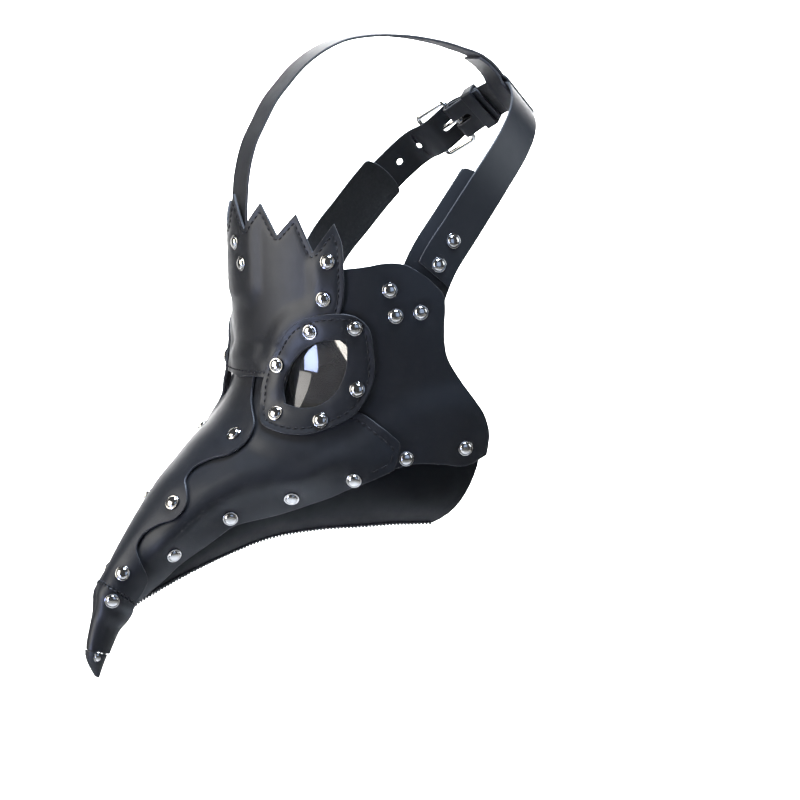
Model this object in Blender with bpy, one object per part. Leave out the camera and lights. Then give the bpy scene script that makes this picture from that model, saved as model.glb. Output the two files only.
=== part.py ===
"""Plague doctor mask of black leather panels, with riveted straps and a pin buckle.

The mask faces -Y, the wearer's left is +X and up is +Z. The origin is the front of the face form at
the bridge of the nose, on the middle plane. Sizes in the tables are millimetres; MM turns them into
metres where the meshes are made.
"""

import math

import bmesh
import bpy
import numpy as np
from mathutils import Matrix, Vector
from mathutils.geometry import delaunay_2d_cdt

MM = 0.001

# Leather
LEATHER = 1.4
LAYER = 2.0
DRAPE_FROM = 4.0
DRAPE_TO = 14.0
SEAM_GAP = 0.2

# The mask's outer form, one row for each cross-section from the forehead to the point: ridge y,
# ridge z, rear y, rear z, half width, share of its depth where it is widest, rear half width, and how
# far the innermost leather lies inside it at the ridge and at the sides
SECTIONS = np.array(
    [
        [-1.0, 104, 98, 104, 70, 1.00, 70, 0.0, 0.0],
        [-1.0, 60, 98, 60, 76, 1.00, 76, 1.0, 0.0],
        [-1.0, 25, 98, 25, 77, 1.00, 77, 2.6, 0.0],
        [-2.0, 0, 108, -10, 76, 0.97, 76, 5.6, 0.0],
        [-7.0, -12, 114, -42, 73, 0.88, 70, 5.2, 0.0],
        [-14.0, -22, 101, -70, 66, 0.74, 52, 4.0, 0.0],
        [-22.0, -30, 64, -74, 52, 0.62, 38, 3.6, 0.0],
        [-33.5, -42, 31, -77, 38, 0.54, 22, 3.8, 0.0],
        [-43.0, -51.5, 10, -82, 29, 0.52, 9, 3.9, 0.5],
        [-50.5, -61, -9, -90, 23, 0.52, 1.0, 4.0, 1.0],
        [-60.0, -74.5, -29, -98.5, 16.5, 0.52, 0.5, 4.0, 2.0],
        [-69.5, -89, -46, -107, 12, 0.52, 0.4, 4.2, 3.0],
        [-77.5, -102, -58.5, -114, 9, 0.55, 0.4, 4.4, 3.6],
        [-82.0, -123, -67.5, -127, 6, 0.55, 0.6, 1.8, 1.5],
        [-84.0, -141, -75, -143.5, 3.4, 0.55, 0.8, 1.6, 1.0],
        [-79.8, -149.6, -77.8, -150.8, 1.2, 0.55, 0.7, 0.6, 0.0],
    ]
)
EYE_SECTION = 3
GIRTH_STEPS = 120
SUNK_FALL = 4
SUNK_ROUND = 0.8

# The moulded cheek roll of the beak, as (girth, height) points, and the swell and the hollow beside it
ROLL = [(20, -105), (26, -78), (33, -62), (41, -50), (54, -39), (70, -33), (82, -25)]
ROLL_SWELL = 2.0
ROLL_HOLLOW = 1.6
ROLL_WIDTH = 7.0
ROLL_FADE = 16.0
HOLLOW_BELOW = 12.0

# Panel outlines as (girth from the middle line, height along the ridge, 1 at a corner)
CROWN = [
    (0, 93, 1), (10.8, 75.5, 1), (21.5, 89, 1), (32.5, 73, 1), (43.5, 84, 1), (53.5, 65, 1),
    (64, 79.5, 1), (68.5, 69, 0), (70, 56, 0), (70, 41, 0), (67.5, 30.5, 1), (59, 28.5, 0),
    (47, 25, 0), (38, 18.5, 0), (31.5, 8.5, 0), (30, 1, 1), (14, 0.5, 0), (0, -1, 1),
]
CHEEK = [
    (62, 56, 1), (80, 58, 0), (92, 60, 0), (99, 59.5, 0), (107, 55.5, 0), (115, 49, 0),
    (120.3, 42.5, 0), (121, 36, 0), (120.5, 26, 0), (122, 13, 0), (129, 4.7, 0), (136, 0, 0),
    (143, -4, 0), (147, -8, 0), (148, -12, 1), (141, -15, 0), (127, -16.5, 0), (113, -18.5, 0),
    (103, -22, 1), (94, -21, 0), (84, -17, 0), (70, -20, 0), (50, -22, 0), (36, -21, 0),
    (29, -12, 0), (28, 0, 0), (33, 14, 0), (44, 26, 0), (56, 31, 0), (62, 40, 0),
]
BEAK_SIDE = [
    (SEAM_GAP, 5, 1), (28, 5, 1), (29.5, -5, 0), (34, -13.5, 0), (43, -17, 0), (53, -16.5, 0),
    (63, -13, 0), (72, -7.5, 0), (80, -7.5, 0), (90, -10, 0), (98.5, -12.5, 0), (103.5, -14.5, 0),
    (104.5, -17.5, 0), (105.5, -21, 1), (94, -28.5, 0), (84, -38, 0), (73.5, -49.5, 0),
    (61.5, -60, 0), (50.5, -70, 0), (42.5, -84, 0), (36.5, -97, 0), (31, -112, 0),
    (26.5, -126.5, 1), (SEAM_GAP, -126.5, 1),
]
JAW_TOP = [(13, -136, 1), (17.5, -126.5, 0), (24, -108, 0), (33, -86, 0), (45, -66, 0), (66, -45, 0), (86, -26, 0),
           (100, -14, 0), (122, -8, 0), (138, -7, 1), (145.5, -13, 0), (147, -20, 0)]
JAW_HEM_HEIGHTS = [-30, -36, -42, -50, -60, -72, -85, -100, -115, -126.5, -136]
NOSE_STRIP = [
    (0, 6, 1), (13, 6, 1), (13, -3, 0), (16.5, -10, 0), (23.5, -16.5, 0), (30.5, -23, 0),
    (32.5, -31, 0), (29.5, -40, 0), (20.5, -47.5, 0), (15, -55, 0), (16, -62, 0), (21.5, -67, 0),
    (25, -72, 0), (24, -79, 0), (16.5, -88, 0), (12, -96, 0), (12.5, -103, 0), (18, -107.5, 0),
    (23, -111, 0), (24, -118, 0), (23, -126.5, 1), (0, -126.5, 1),
]
EYE_PATCH = [
    (33, -21, 0), (27.5, -15, 0), (25.5, -6, 0), (26, 5, 0), (34, 18, 0), (46, 29.5, 0),
    (61.5, 34, 0), (77, 32.5, 0), (82.5, 27.5, 0), (84.5, 14.5, 0), (84, 4, 0), (77.5, -8, 0),
    (69, -14, 0), (57.5, -20, 0), (44, -22.5, 0),
]
EYE_OPENING = [
    (40.5, -9.5, 1), (37.5, -3, 0), (38.5, 5.5, 0), (43, 12, 0), (51, 18, 0), (60, 21.5, 0),
    (71.5, 22, 1), (71, 14, 0), (69, 5.5, 0), (65, -2.5, 0), (57, -8, 0), (49, -9.8, 0),
]
EYE_CENTRE = (54.5, 6)
UNDER_OPENING_SCALE = 1.13
LENS_RADII = (26, 24)
LENS_LOW = -1.9
LENS_THICK = 1.0
RETAINER_RADII = (28.5, 26.5)
RETAINER_OPENING = (20.5, 18.5)
RETAINER_LOW = -3.7
TIP_CAP_TOP = -127
TIP_CAP_END = -161.8
TIP_CAP_CLEAR = 7
TIP_CLEAR_LENGTH = 13
TIP_END_TOP = -162.3

# Rivets: cap radius and height, and their places as (girth, height)
RIVET_RADIUS = 3.8
RIVET_HEIGHT = 1.7
RIVET_SIDES = 12
RIVET_CLEAR = 0.35
CROWN_RIVETS = [(1, 68.5), (7.5, 58), (62, 60.5), (-62, 60.5), (60, 41.5), (-60, 41.5)]
TEMPLE_RIVETS = [(93, 46), (96, 33), (108.5, 34.5)]
ROW_RIVETS = [(30.5, -94.5), (47, -68), (68.5, -46), (90, -28), (109, -17.5), (136, -11.5)]
STRAP_RIVETS = [9, 23.5]

# The head that the straps lie on: centre and half sizes
HEAD_CENTRE = np.array([0.0, 90.0, 55.0])
HEAD_RADII = np.array([76.0, 95.0, 122.0])

# The straps
STRAP_WIDTH = 20
STRIP_SPACING = (60, 60)
STRAP_START = 24.0
STRAP_SLANT = 6.0
TAB_REACH = 90
TAB_HALF_WIDTH = 13.2
TAB_SHIFT = np.array([0, -2.2])
TAB_BEND = 55
SIDE_HALF = [(71, 66, 28), (74.5, 78, 60), (72, 91, 77), (66, 110.5, 101), (54, 128, 119),
             (43, 137.5, 128.5), (32, 143.5, 134.5), (18, 148.5, 139.5)]
SIDE_CROSSING = [(11, 150.2, 141.2), (-11, 150.2, 141.2)]
SIDE_BUCKLED = [(-16, 149.6, 140.4), (-60, 125, 115)]
TOP_FRONT = [(0, 0.2, 50), (0, -0.2, 68), (0, -0.4, 86), (0, 1.8, 108), (0, 5, 119), (0, 10.5, 130),
             (0, 16, 140), (0, 23, 148.5), (0, 30, 156.2), (0, 42, 165.2), (0, 54, 170.6), (0, 68, 172.8),
             (0, 84, 173), (0, 100, 171.2), (0, 116, 167.6), (0, 128, 162.8), (0, 136, 157.5)]
TOP_CROSSING = [(0, 142, 150.6), (0, 158.7, 131.4)]
STRAIGHT_SHARES = (0, 0.1, 0.5, 0.9, 1)
BAR_FROM_BEND = 27

# The loop of the top strap round the side strap, measured along it from where the two cross
LOOP_FLAT = 0.95
LOOP_OPEN = 1.8
LOOP_REACH = 10.8
LOOP_BACK = 30
LOOP_RIVET = 21

# A pin buckle, measured along the strap from its bar, and above the strap's line
WIRE = 1.3
FRAME_LENGTH = 19.5
FRAME_HALF_WIDTH = 13.2
FRAME_CORNER = 2.4
PRONG_WIRE = 1.0
PRONG_REACH = 21.6
FOLD_RADIUS = 2.4
FOLD_LENGTH = 22
FOLD_FLAT = 1.0
SLOT_HALF_WIDTH = 1.7
TAIL_LENGTH = 25
TAIL_OVER_FOLD = 2.9
TAIL_OVER_BAR = 5.0
TAIL_UNDER_FRONT = -2.4
PUNCH_RADIUS = 1.7
PUNCH_PITCH = 14
PUNCHES = 3
KEEPER_AT = -15.5
KEEPER_WIDTH = 7
KEEPER_WALL = 1.2
KEEPER_CLEAR = 0.6

BLACK = (0.022, 0.022, 0.025, 1)
DARK = (0.012, 0.012, 0.013, 1)
NICKEL = (0.72, 0.71, 0.69, 1)
SMOKE = (0.16, 0.15, 0.15, 1)


def clear_scene():
    """Removes whatever objects the file holds."""
    for old in list(bpy.data.objects):
        bpy.data.objects.remove(old, do_unlink=True)


def finish_of(name, colour, roughness, metallic=0.0):
    """A Principled material."""
    material = bpy.data.materials.new(name)
    material.use_nodes = True
    shader = material.node_tree.nodes["Principled BSDF"]
    shader.inputs["Base Color"].default_value = colour
    shader.inputs["Roughness"].default_value = roughness
    shader.inputs["Metallic"].default_value = metallic
    return material


def through(stops, rows, at):
    """A smooth curve through rows, each at its stop, read at the places in at."""
    stops = np.asarray(stops, float)
    rows = np.asarray(rows, float)
    at = np.asarray(at, float)
    gaps = np.diff(stops)[:, None]
    rise = np.diff(rows, axis=0) / gaps
    slope = np.empty_like(rows)
    slope[0], slope[-1] = rise[0], rise[-1]
    slope[1:-1] = (rise[:-1] * gaps[1:] + rise[1:] * gaps[:-1]) / (gaps[1:] + gaps[:-1])
    i = np.clip(np.searchsorted(stops, at, side="right") - 1, 0, len(stops) - 2)
    gap = gaps[i, 0][..., None]
    t = (at - stops[i])[..., None] / gap
    t2, t3 = t * t, t * t * t
    start = (2 * t3 - 3 * t2 + 1) * rows[i] + (t3 - 2 * t2 + t) * gap * slope[i]
    return start + (3 * t2 - 2 * t3) * rows[i + 1] + (t3 - t2) * gap * slope[i + 1]


def lengths_along(points):
    """The distance along a line of points, from its start to each of them."""
    steps = np.linalg.norm(np.diff(points, axis=0), axis=1)
    return np.concatenate([[0.0], np.cumsum(steps)])


RIDGE_HEIGHTS = -lengths_along(SECTIONS[:, :2])
RIDGE_HEIGHTS -= RIDGE_HEIGHTS[EYE_SECTION]


def section_point(height, share, inner=True):
    """A point of the inner form, or of the outer one.

    Share runs from 0 at the ridge, by 0.5 at the widest place, to 1 at the rear.
    """
    row = through(-RIDGE_HEIGHTS, SECTIONS, -np.asarray(height, float))
    ridge_y, ridge_z, rear_y, rear_z, half, widest, rear_half, sunk, narrowed = np.moveaxis(row, -1, 0)
    share = np.asarray(share, float)
    turn = np.clip(share * 2, 0, 1) * math.pi / 2
    rest = np.clip(share * 2 - 1, 0, 1)
    depth = widest * (1 - np.cos(turn)) + (1 - widest) * rest
    if inner:
        deep = np.hypot(rear_y - ridge_y, rear_z - ridge_z)
        fall = np.clip(SUNK_ROUND * widest * deep / np.maximum(sunk, 0.1), 1, SUNK_FALL)
        depth = depth + sunk * np.cos(turn) ** fall / deep
        half = half - narrowed
    x = half * np.sin(turn) - (half - rear_half) * rest**2
    y = ridge_y + depth * (rear_y - ridge_y)
    z = ridge_z + depth * (rear_z - ridge_z)
    return np.stack(np.broadcast_arrays(x, y, z), -1)


def girths(height):
    """The outer girth from the ridge to each step of the sections at these heights."""
    shares = np.linspace(0, 1, GIRTH_STEPS + 1)
    rows = section_point(np.asarray(height, float)[:, None], shares[None, :], inner=False)
    steps = np.linalg.norm(np.diff(rows, axis=1), axis=2)
    return np.concatenate([np.zeros((len(rows), 1)), np.cumsum(steps, 1)], 1)


def girth_end(height):
    """The girth from the ridge to the rear edge of the form at one height."""
    return girths(np.array([height]))[0, -1]


def form_point(flat):
    """The form's points at rows of (girth, height). A negative girth is on the wearer's right."""
    girth, height = np.asarray(flat, float).T
    table = girths(height)
    wanted = np.clip(np.abs(girth), 0, table[:, -1])
    i = (table[:, 1:-1] < wanted[:, None]).sum(1)
    pick = np.arange(len(i))
    low, high = table[pick, i], table[pick, i + 1]
    share = (i + (wanted - low) / np.maximum(high - low, 1e-9)) / GIRTH_STEPS
    points = section_point(height, share)
    points[:, 0] *= np.where(girth < 0, -1, 1)
    return points


def form_normal(flat, reach=0.6):
    """The form's outward direction at rows of (girth, height)."""
    flat = np.asarray(flat, float)
    inner = flat.copy()
    ends = girths(flat[:, 1])[:, -1] - reach
    inner[:, 0] = np.clip(flat[:, 0], -ends, ends)
    across = form_point(inner + [reach, 0]) - form_point(inner - [reach, 0])
    along = form_point(inner + [0, reach]) - form_point(inner - [0, reach])
    normal = np.cross(along, across)
    normal /= np.linalg.norm(normal, axis=1, keepdims=True)
    return -normal


def smooth(share):
    """Rises gently from 0 to 1 as share does."""
    share = np.clip(share, 0, 1)
    return share * share * (3 - 2 * share)


def nearest(points, line):
    """Distance from points to a line of points, its side (positive on the left) and how far along."""
    points = np.asarray(points, float)[:, None, :]
    start, run = line[:-1][None], np.diff(line, axis=0)[None]
    t = np.clip(((points - start) * run).sum(2) / (run**2).sum(2), 0, 1)
    off = points - (start + t[..., None] * run)
    far = np.linalg.norm(off, axis=2)
    k = far.argmin(1)
    pick = np.arange(len(k))
    run, off = run[0, k], off[pick, k]
    along = lengths_along(line)[k] + t[pick, k] * np.linalg.norm(run, axis=1)
    return far[pick, k], np.sign(run[:, 0] * off[:, 1] - run[:, 1] * off[:, 0]), along


def inside(points, outline):
    """True for the points inside a closed outline."""
    x, y = np.asarray(points, float).T[:, :, None]
    ax, ay = outline.T[:, None, :]
    bx, by = np.roll(outline, -1, 0).T[:, None, :]
    crosses = (ay > y) != (by > y)
    at = ax + (y - ay) * (bx - ax) / np.where(by == ay, 1e-9, by - ay)
    return ((x < at) & crosses).sum(1) % 2 == 1


def outside_by(points, outline):
    """Distance outside a closed outline, negative inside."""
    far = nearest(points, np.vstack([outline, outline[:1]]))[0]
    return np.where(inside(points, outline), -far, far)


def mould(flat):
    """How far the beak's moulded roll stands off the form and its hollow sinks, fading at both ends."""
    folded = np.column_stack([np.abs(flat[:, 0]), flat[:, 1]])
    roll = np.array(ROLL, float)
    far, side, along = nearest(folded, roll)
    above = far * side
    swell = ROLL_SWELL * np.exp(-((above / ROLL_WIDTH) ** 2))
    hollow = ROLL_HOLLOW * np.exp(-(((above + HOLLOW_BELOW) / ROLL_WIDTH) ** 2))
    return (swell - hollow) * smooth(along / ROLL_FADE) * smooth((lengths_along(roll)[-1] - along) / ROLL_FADE)


def outline_of(points, spacing):
    """A closed outline: smooth through its points, and sharp where they are corners."""
    rows = np.array([p[:2] for p in points], float)
    corners = [i for i, p in enumerate(points) if p[2]]
    if not corners:
        rows = np.vstack([rows[-2:], rows, rows[:3]])
        stops = lengths_along(rows)
        count = max(6, round((stops[-3] - stops[2]) / spacing))
        return through(stops, rows, np.linspace(stops[2], stops[-3], count + 1)[:-1] + 1e-9)
    made = []
    for here, there in zip(corners, corners[1:] + [corners[0] + len(points)]):
        run = rows[[i % len(points) for i in range(here, there + 1)]]
        stops = lengths_along(run)
        count = max(1, math.ceil(stops[-1] / spacing))
        made.append(through(stops, run, np.linspace(0, stops[-1], count + 1)[:-1]))
    return np.vstack(made)


def mirrored(points):
    """A half outline from the top of the middle line to its foot, closed with its mirror image."""
    rest = [(-g, v, c) for g, v, c in points[1:-1]]
    return points + rest[::-1]


def ellipse(centre, radii, spacing):
    """An ellipse as a closed outline."""
    count = max(16, round(math.pi * sum(radii) / spacing))
    turn = np.linspace(0, 2 * math.pi, count, endpoint=False)
    return np.column_stack([centre[0] + radii[0] * np.cos(turn), centre[1] + radii[1] * np.sin(turn)])


def fill(outline, holes, spacing, rungs):
    """Flat points and triangles that fill an outline around its holes. Spacing is (across, along).

    Each rung is a line across the outline that no triangle crosses.
    """
    low, high = outline.min(0), outline.max(0)
    rows = np.arange(low[1] + spacing[1] / 2, high[1], spacing[1])
    lattice = [(x + (k % 2) * spacing[0] / 2, y) for k, y in enumerate(rows)
               for x in np.arange(low[0], high[0], spacing[0])]
    kept = np.array(lattice).reshape(-1, 2)
    clear = 0.5 * min(spacing)
    kept = kept[outside_by(kept, outline) < -clear]
    for hole in holes:
        kept = kept[outside_by(kept, hole) > clear]
    points, edges = [], []
    for ring in [outline, *holes]:
        first = len(points)
        points += [Vector(p) for p in ring]
        edges += [(first + i, first + (i + 1) % len(ring)) for i in range(len(ring))]
    for rung in rungs:
        edges.append((len(points), len(points) + 1))
        points += [Vector(p) for p in rung]
    points += [Vector(p) for p in kept]
    made = delaunay_2d_cdt(points, edges, [], 0, 1e-6)
    flat = np.array([tuple(p) for p in made[0]])
    triangles = np.array([tuple(f) for f in made[2]])
    middle = flat[triangles].mean(1)
    keep = inside(middle, outline)
    for hole in holes:
        keep &= ~inside(middle, hole)
    return flat, triangles[keep]


def add_object(name, points, faces, material, smooth=True):
    """A mesh object from points in millimetres, its faces turned outwards."""
    mesh = bpy.data.meshes.new(name)
    mesh.from_pydata([tuple(p) for p in np.asarray(points) * MM], [], [tuple(map(int, f)) for f in faces])
    work = bmesh.new()
    work.from_mesh(mesh)
    loose = [v for v in work.verts if not v.link_faces]
    bmesh.ops.delete(work, geom=loose, context="VERTS")
    if work.calc_volume(signed=True) < 0:
        bmesh.ops.reverse_faces(work, faces=work.faces)
    work.to_mesh(mesh)
    work.free()
    mesh.materials.append(material)
    if smooth:
        mesh.shade_smooth()
        mesh.set_sharp_from_angle(angle=math.radians(40))
    made = bpy.data.objects.new(name, mesh)
    bpy.context.scene.collection.objects.link(made)
    return made


def sheet(outline, place, low, thick, spacing, holes=(), rungs=()):
    """Points and faces of a closed sheet: place turns flat points and a height into space."""
    flat, triangles = fill(outline, holes, spacing, rungs)
    count = len(flat)
    bottom = low(flat) if callable(low) else np.full(count, float(low))
    points = np.vstack([place(flat, bottom), place(flat, bottom + thick)])
    sides = {}
    for a, b, c in triangles:
        for pair in ((a, b), (b, c), (c, a)):
            if pair[::-1] in sides:
                del sides[pair[::-1]]
            else:
                sides[pair] = True
    faces = [(a, b, c) for a, b, c in triangles + count]
    faces += [(c, b, a) for a, b, c in triangles]
    faces += [(a, b, b + count, a + count) for a, b in sides]
    return points, faces


def on_form(flat, height):
    """Places flat points on the moulded form, at a height above it."""
    return form_point(flat) + form_normal(flat) * (height + mould(flat))[:, None]


def both_sides(name, points, faces, material):
    """A piece for the wearer's left and its mirror image for the right."""
    add_object(name + "_left", points, faces, material)
    add_object(name + "_right", points * [-1, 1, 1], [f[::-1] for f in faces], material)


def cover(flat, outline):
    """1 over a lower piece and just past its edge, fading to 0 where the leather comes down again."""
    folded = np.column_stack([np.abs(flat[:, 0]), flat[:, 1]])
    return 1 - smooth((outside_by(folded, outline) - DRAPE_FROM) / (DRAPE_TO - DRAPE_FROM))


def over(*outlines):
    """The height of a panel that lies over these pieces."""
    return lambda flat: LAYER * sum(cover(flat, outline) for outline in outlines)


def jaw_outline():
    """The jaw panel runs from under the beak side down to the form's rear edge."""
    hem = [(girth_end(v) - 0.5, v, int(v in JAW_HEM_HEIGHTS[::10])) for v in JAW_HEM_HEIGHTS]
    return JAW_TOP + hem


def tip_outline():
    """The tip cap wraps the point edge to edge, and leaves the hem free at its top."""
    heights = np.linspace(TIP_CAP_TOP, TIP_CAP_END, 9)
    clear = TIP_CAP_CLEAR * (1 - smooth((TIP_CAP_TOP - heights) / TIP_CLEAR_LENGTH))
    edge = [(girth_end(v) - SEAM_GAP - back, v) for v, back in zip(heights, clear)]
    foot = [(edge[-1][0] * share, TIP_CAP_END) for share in np.linspace(1, -1, 7)[1:-1]]
    top = [(edge[0][0] * share, TIP_CAP_TOP) for share in np.linspace(-1, 1, 23)[1:-1]]
    return np.array(edge + foot + [(-g, v) for g, v in edge[::-1]] + top)


JAW = outline_of(jaw_outline(), 5)
CHEEK_EDGE = outline_of(CHEEK, 5)
BEAK_EDGE = outline_of(BEAK_SIDE, 5)
CROWN_HALF = outline_of(CROWN, 5)
NOSE_HALF = outline_of(NOSE_STRIP, 4)
STRAP_UNDER = np.array([(0.0, 48), (10, 48), (10, 104), (0, 104)])
COVERS = {
    "cheek": over(JAW),
    "beak": over(JAW, CHEEK_EDGE),
    "nose": over(JAW, CHEEK_EDGE, BEAK_EDGE),
    "crown": over(CHEEK_EDGE, BEAK_EDGE, NOSE_HALF, STRAP_UNDER),
    "eye": over(CHEEK_EDGE, BEAK_EDGE, CROWN_HALF),
    "tip": over(JAW, BEAK_EDGE),
}


def face_panels(leather, dark):
    """Crown, cheeks, beak sides, jaw panels, nose strip and eye patches."""
    opening = outline_of(EYE_OPENING, 4)
    under = EYE_CENTRE + (outline_of(EYE_OPENING, 6) - EYE_CENTRE) * UNDER_OPENING_SCALE
    both_sides("jaw_panel", *sheet(JAW, on_form, 0, LEATHER, (4, 7)), dark)
    cheek = sheet(CHEEK_EDGE, on_form, COVERS["cheek"], LEATHER, (8, 8), [under])
    both_sides("cheek_panel", *cheek, leather)
    both_sides("beak_side", *sheet(BEAK_EDGE, on_form, COVERS["beak"], LEATHER, (4, 7)), leather)
    patch = sheet(outline_of(EYE_PATCH, 5), on_form, COVERS["eye"], LEATHER, (6, 6), [opening])
    both_sides("eye_patch", *patch, leather)
    crown = outline_of(mirrored(CROWN), 6)
    add_object("forehead_crown", *sheet(crown, on_form, COVERS["crown"], LEATHER, (7, 8)), leather)
    strip = outline_of(mirrored(NOSE_STRIP), 4)
    add_object("nose_ridge_strip", *sheet(strip, on_form, COVERS["nose"], LEATHER, (4, 6)), leather)


def beak_tip(leather, dark):
    """The cap that wraps the point, and the solid end piece below it."""
    add_object("beak_tip_cap", *sheet(tip_outline(), on_form, COVERS["tip"], LEATHER, (2.2, 4.6)), leather)
    heights = np.linspace(TIP_END_TOP, RIDGE_HEIGHTS[-1], 5)
    shares = np.linspace(0, 1, 6)
    rings = []
    for height in heights:
        near = section_point(np.full(6, height), shares, inner=False)
        near[:, 0] += np.where(shares < 1, LEATHER * np.sin(np.clip(shares * 2, 0, 1) * math.pi / 2), 0)
        rings.append(np.vstack([near, near[::-1][:-1] * [-1, 1, 1]]))
    around = len(rings[0])
    faces = [tuple(range(around))[::-1], tuple(range(around * 4, around * 5))]
    for k in range(len(rings) - 1):
        for i in range(around):
            j = (i + 1) % around
            faces.append((k * around + i, k * around + j, k * around + around + j, k * around + around + i))
    add_object("beak_tip_end", np.vstack(rings), faces, dark)


def eyes(smoke, leather):
    """The lens behind each eye opening and the ring that holds it."""
    lens = sheet(ellipse(EYE_CENTRE, LENS_RADII, 8), on_form, LENS_LOW, LENS_THICK, (9, 9))
    both_sides("eye_lens", *lens, smoke)
    hole = ellipse(EYE_CENTRE, RETAINER_OPENING, 8)
    ring = sheet(ellipse(EYE_CENTRE, RETAINER_RADII, 8), on_form, RETAINER_LOW, LEATHER, (8, 8), [hole])
    both_sides("lens_retainer", *ring, leather)


def rivet(name, place, normal, material):
    """A domed rivet cap whose flat back lies on the leather."""
    normal = normal / np.linalg.norm(normal)
    side = np.cross(normal, [0, 0, 1] if abs(normal[2]) < 0.9 else [1, 0, 0])
    side /= np.linalg.norm(side)
    other = np.cross(normal, side)
    rings = [(1.0, 0.0), (1.0, 0.25), (0.8, 0.7), (0.45, 0.95)]
    turn = np.linspace(0, 2 * math.pi, RIVET_SIDES, endpoint=False)[:, None]
    points = []
    for wide, high in rings:
        circle = (np.cos(turn) * side + np.sin(turn) * other) * RIVET_RADIUS * wide
        points.append(place + normal * RIVET_HEIGHT * high + circle)
    points.append([place + normal * RIVET_HEIGHT])
    top = len(rings) * RIVET_SIDES
    faces = [tuple(range(RIVET_SIDES))[::-1]]
    for k in range(len(rings) - 1):
        for i in range(RIVET_SIDES):
            j = (i + 1) % RIVET_SIDES
            a, b = k * RIVET_SIDES + i, k * RIVET_SIDES + j
            faces.append((a, b, b + RIVET_SIDES, a + RIVET_SIDES))
    faces += [(top - RIVET_SIDES + i, top - RIVET_SIDES + (i + 1) % RIVET_SIDES, top)
              for i in range(RIVET_SIDES)]
    add_object(name, np.vstack(points), faces, material)


def form_rivets(name, places, height_of, nickel):
    """Rivets on a panel of the form, numbered from 1."""
    turn = np.radians(np.arange(0, 360, 45))
    for i, place in enumerate(places):
        rim = np.array(place) + RIVET_RADIUS * np.column_stack([np.cos(turn), np.sin(turn)])
        rim = np.vstack([rim, place])
        points = on_form(rim, height_of(rim) + LEATHER)
        normal = np.cross(points[0] - points[4], points[2] - points[6])
        normal /= np.linalg.norm(normal)
        proud = ((points - points[-1]) @ normal).max() + RIVET_CLEAR
        rivet(f"{name}_{i + 1}", points[-1] + proud * normal, normal, nickel)


def panel_rivets(nickel):
    """The rivets of the crown, the temples and the bottom row."""
    form_rivets("crown_rivet", CROWN_RIVETS, COVERS["crown"], nickel)
    for side, sign in (("left", 1), ("right", -1)):
        temple = [(g * sign, v) for g, v in TEMPLE_RIVETS]
        form_rivets("temple_rivet_" + side, temple, COVERS["cheek"], nickel)
        beak = [(g * sign, v) for g, v in ROW_RIVETS[:4]]
        form_rivets("beak_row_rivet_" + side, beak, COVERS["beak"], nickel)
        cheek = [(g * sign, v) for g, v in ROW_RIVETS[4:]]
        form_rivets("cheek_row_rivet_" + side, cheek, COVERS["cheek"], nickel)


def head_normal(points):
    """The outward direction of the head at these points."""
    normal = (points - HEAD_CENTRE) / HEAD_RADII**2
    return normal / np.linalg.norm(normal, axis=1, keepdims=True)


def strap_line(*runs):
    """A strap's line as rows of point and normal. A run of two points is straight, with one normal."""
    rows = []
    for run in runs:
        points = np.array(run, float)
        if len(run) == 2:
            points = np.array([points[0] + share * (points[1] - points[0]) for share in STRAIGHT_SHARES])
        normals = head_normal(points)
        if len(run) == 2:
            normals[:] = normals[2]
        rows.append(np.hstack([points, normals]))
    return np.vstack(rows)


def distance_to(line, point):
    """The distance along a strap's line to one of its own points."""
    return lengths_along(line[:, :3])[np.abs(line[:, :3] - point).sum(1).argmin()]


def line_frame(line, at):
    """Point, direction, outward normal and side of a strap's line at distances along it."""
    stops = lengths_along(line[:, :3])
    at = np.asarray(at, float)
    here = through(stops, line, at)
    ahead = through(stops, line, at + 0.5)[:, :3] - through(stops, line, at - 0.5)[:, :3]
    ahead /= np.linalg.norm(ahead, axis=1, keepdims=True)
    normal = here[:, 3:] - (here[:, 3:] * ahead).sum(1, keepdims=True) * ahead
    normal /= np.linalg.norm(normal, axis=1, keepdims=True)
    return here[:, :3], ahead, normal, np.cross(ahead, normal)


def line_length(line):
    """The length of a strap's line."""
    return lengths_along(line[:, :3])[-1]


def strap_mapper(line, profile):
    """Maps (distance along the strap, distance across) to space, along a profile of a strap's line."""
    profile = np.array(profile, float)
    stops = lengths_along(profile)

    def place(flat, height):
        along = np.clip(flat[:, 0], 0, stops[-1])
        at = np.stack([np.interp(along, stops, profile[:, k]) for k in (0, 1)], 1)
        ahead = np.stack([np.interp(along + 0.4, stops, profile[:, k]) for k in (0, 1)], 1)
        behind = np.stack([np.interp(along - 0.4, stops, profile[:, k]) for k in (0, 1)], 1)
        run = ahead - behind
        run /= np.linalg.norm(run, axis=1, keepdims=True)
        point, forward, normal, side = line_frame(line, at[:, 0])
        lift = (at[:, 1] + height * run[:, 0])[:, None] * normal
        return point + lift - (height * run[:, 1])[:, None] * forward + side * flat[:, 1:2]

    return place, stops[-1]


def fold_profile(start, bar):
    """The held strap's profile: along its line, round the buckle's bar and back beneath itself."""
    run = [(s, 0.0) for s in np.arange(start, bar - FOLD_LENGTH - 6, 6.0)]
    run += [(bar - FOLD_LENGTH, FOLD_FLAT), (bar - 10, FOLD_FLAT), (bar - 6, 1.5), (bar - 3, 2.1)]
    turn = np.linspace(90, -90, 9)
    run += [(bar + FOLD_RADIUS * math.cos(math.radians(t)), FOLD_RADIUS * math.sin(math.radians(t)))
            for t in turn]
    return run + [(bar - 3, -2.1), (bar - 6, -1.5), (bar - 10, -FOLD_FLAT), (bar - FOLD_LENGTH, -FOLD_FLAT)]


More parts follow.
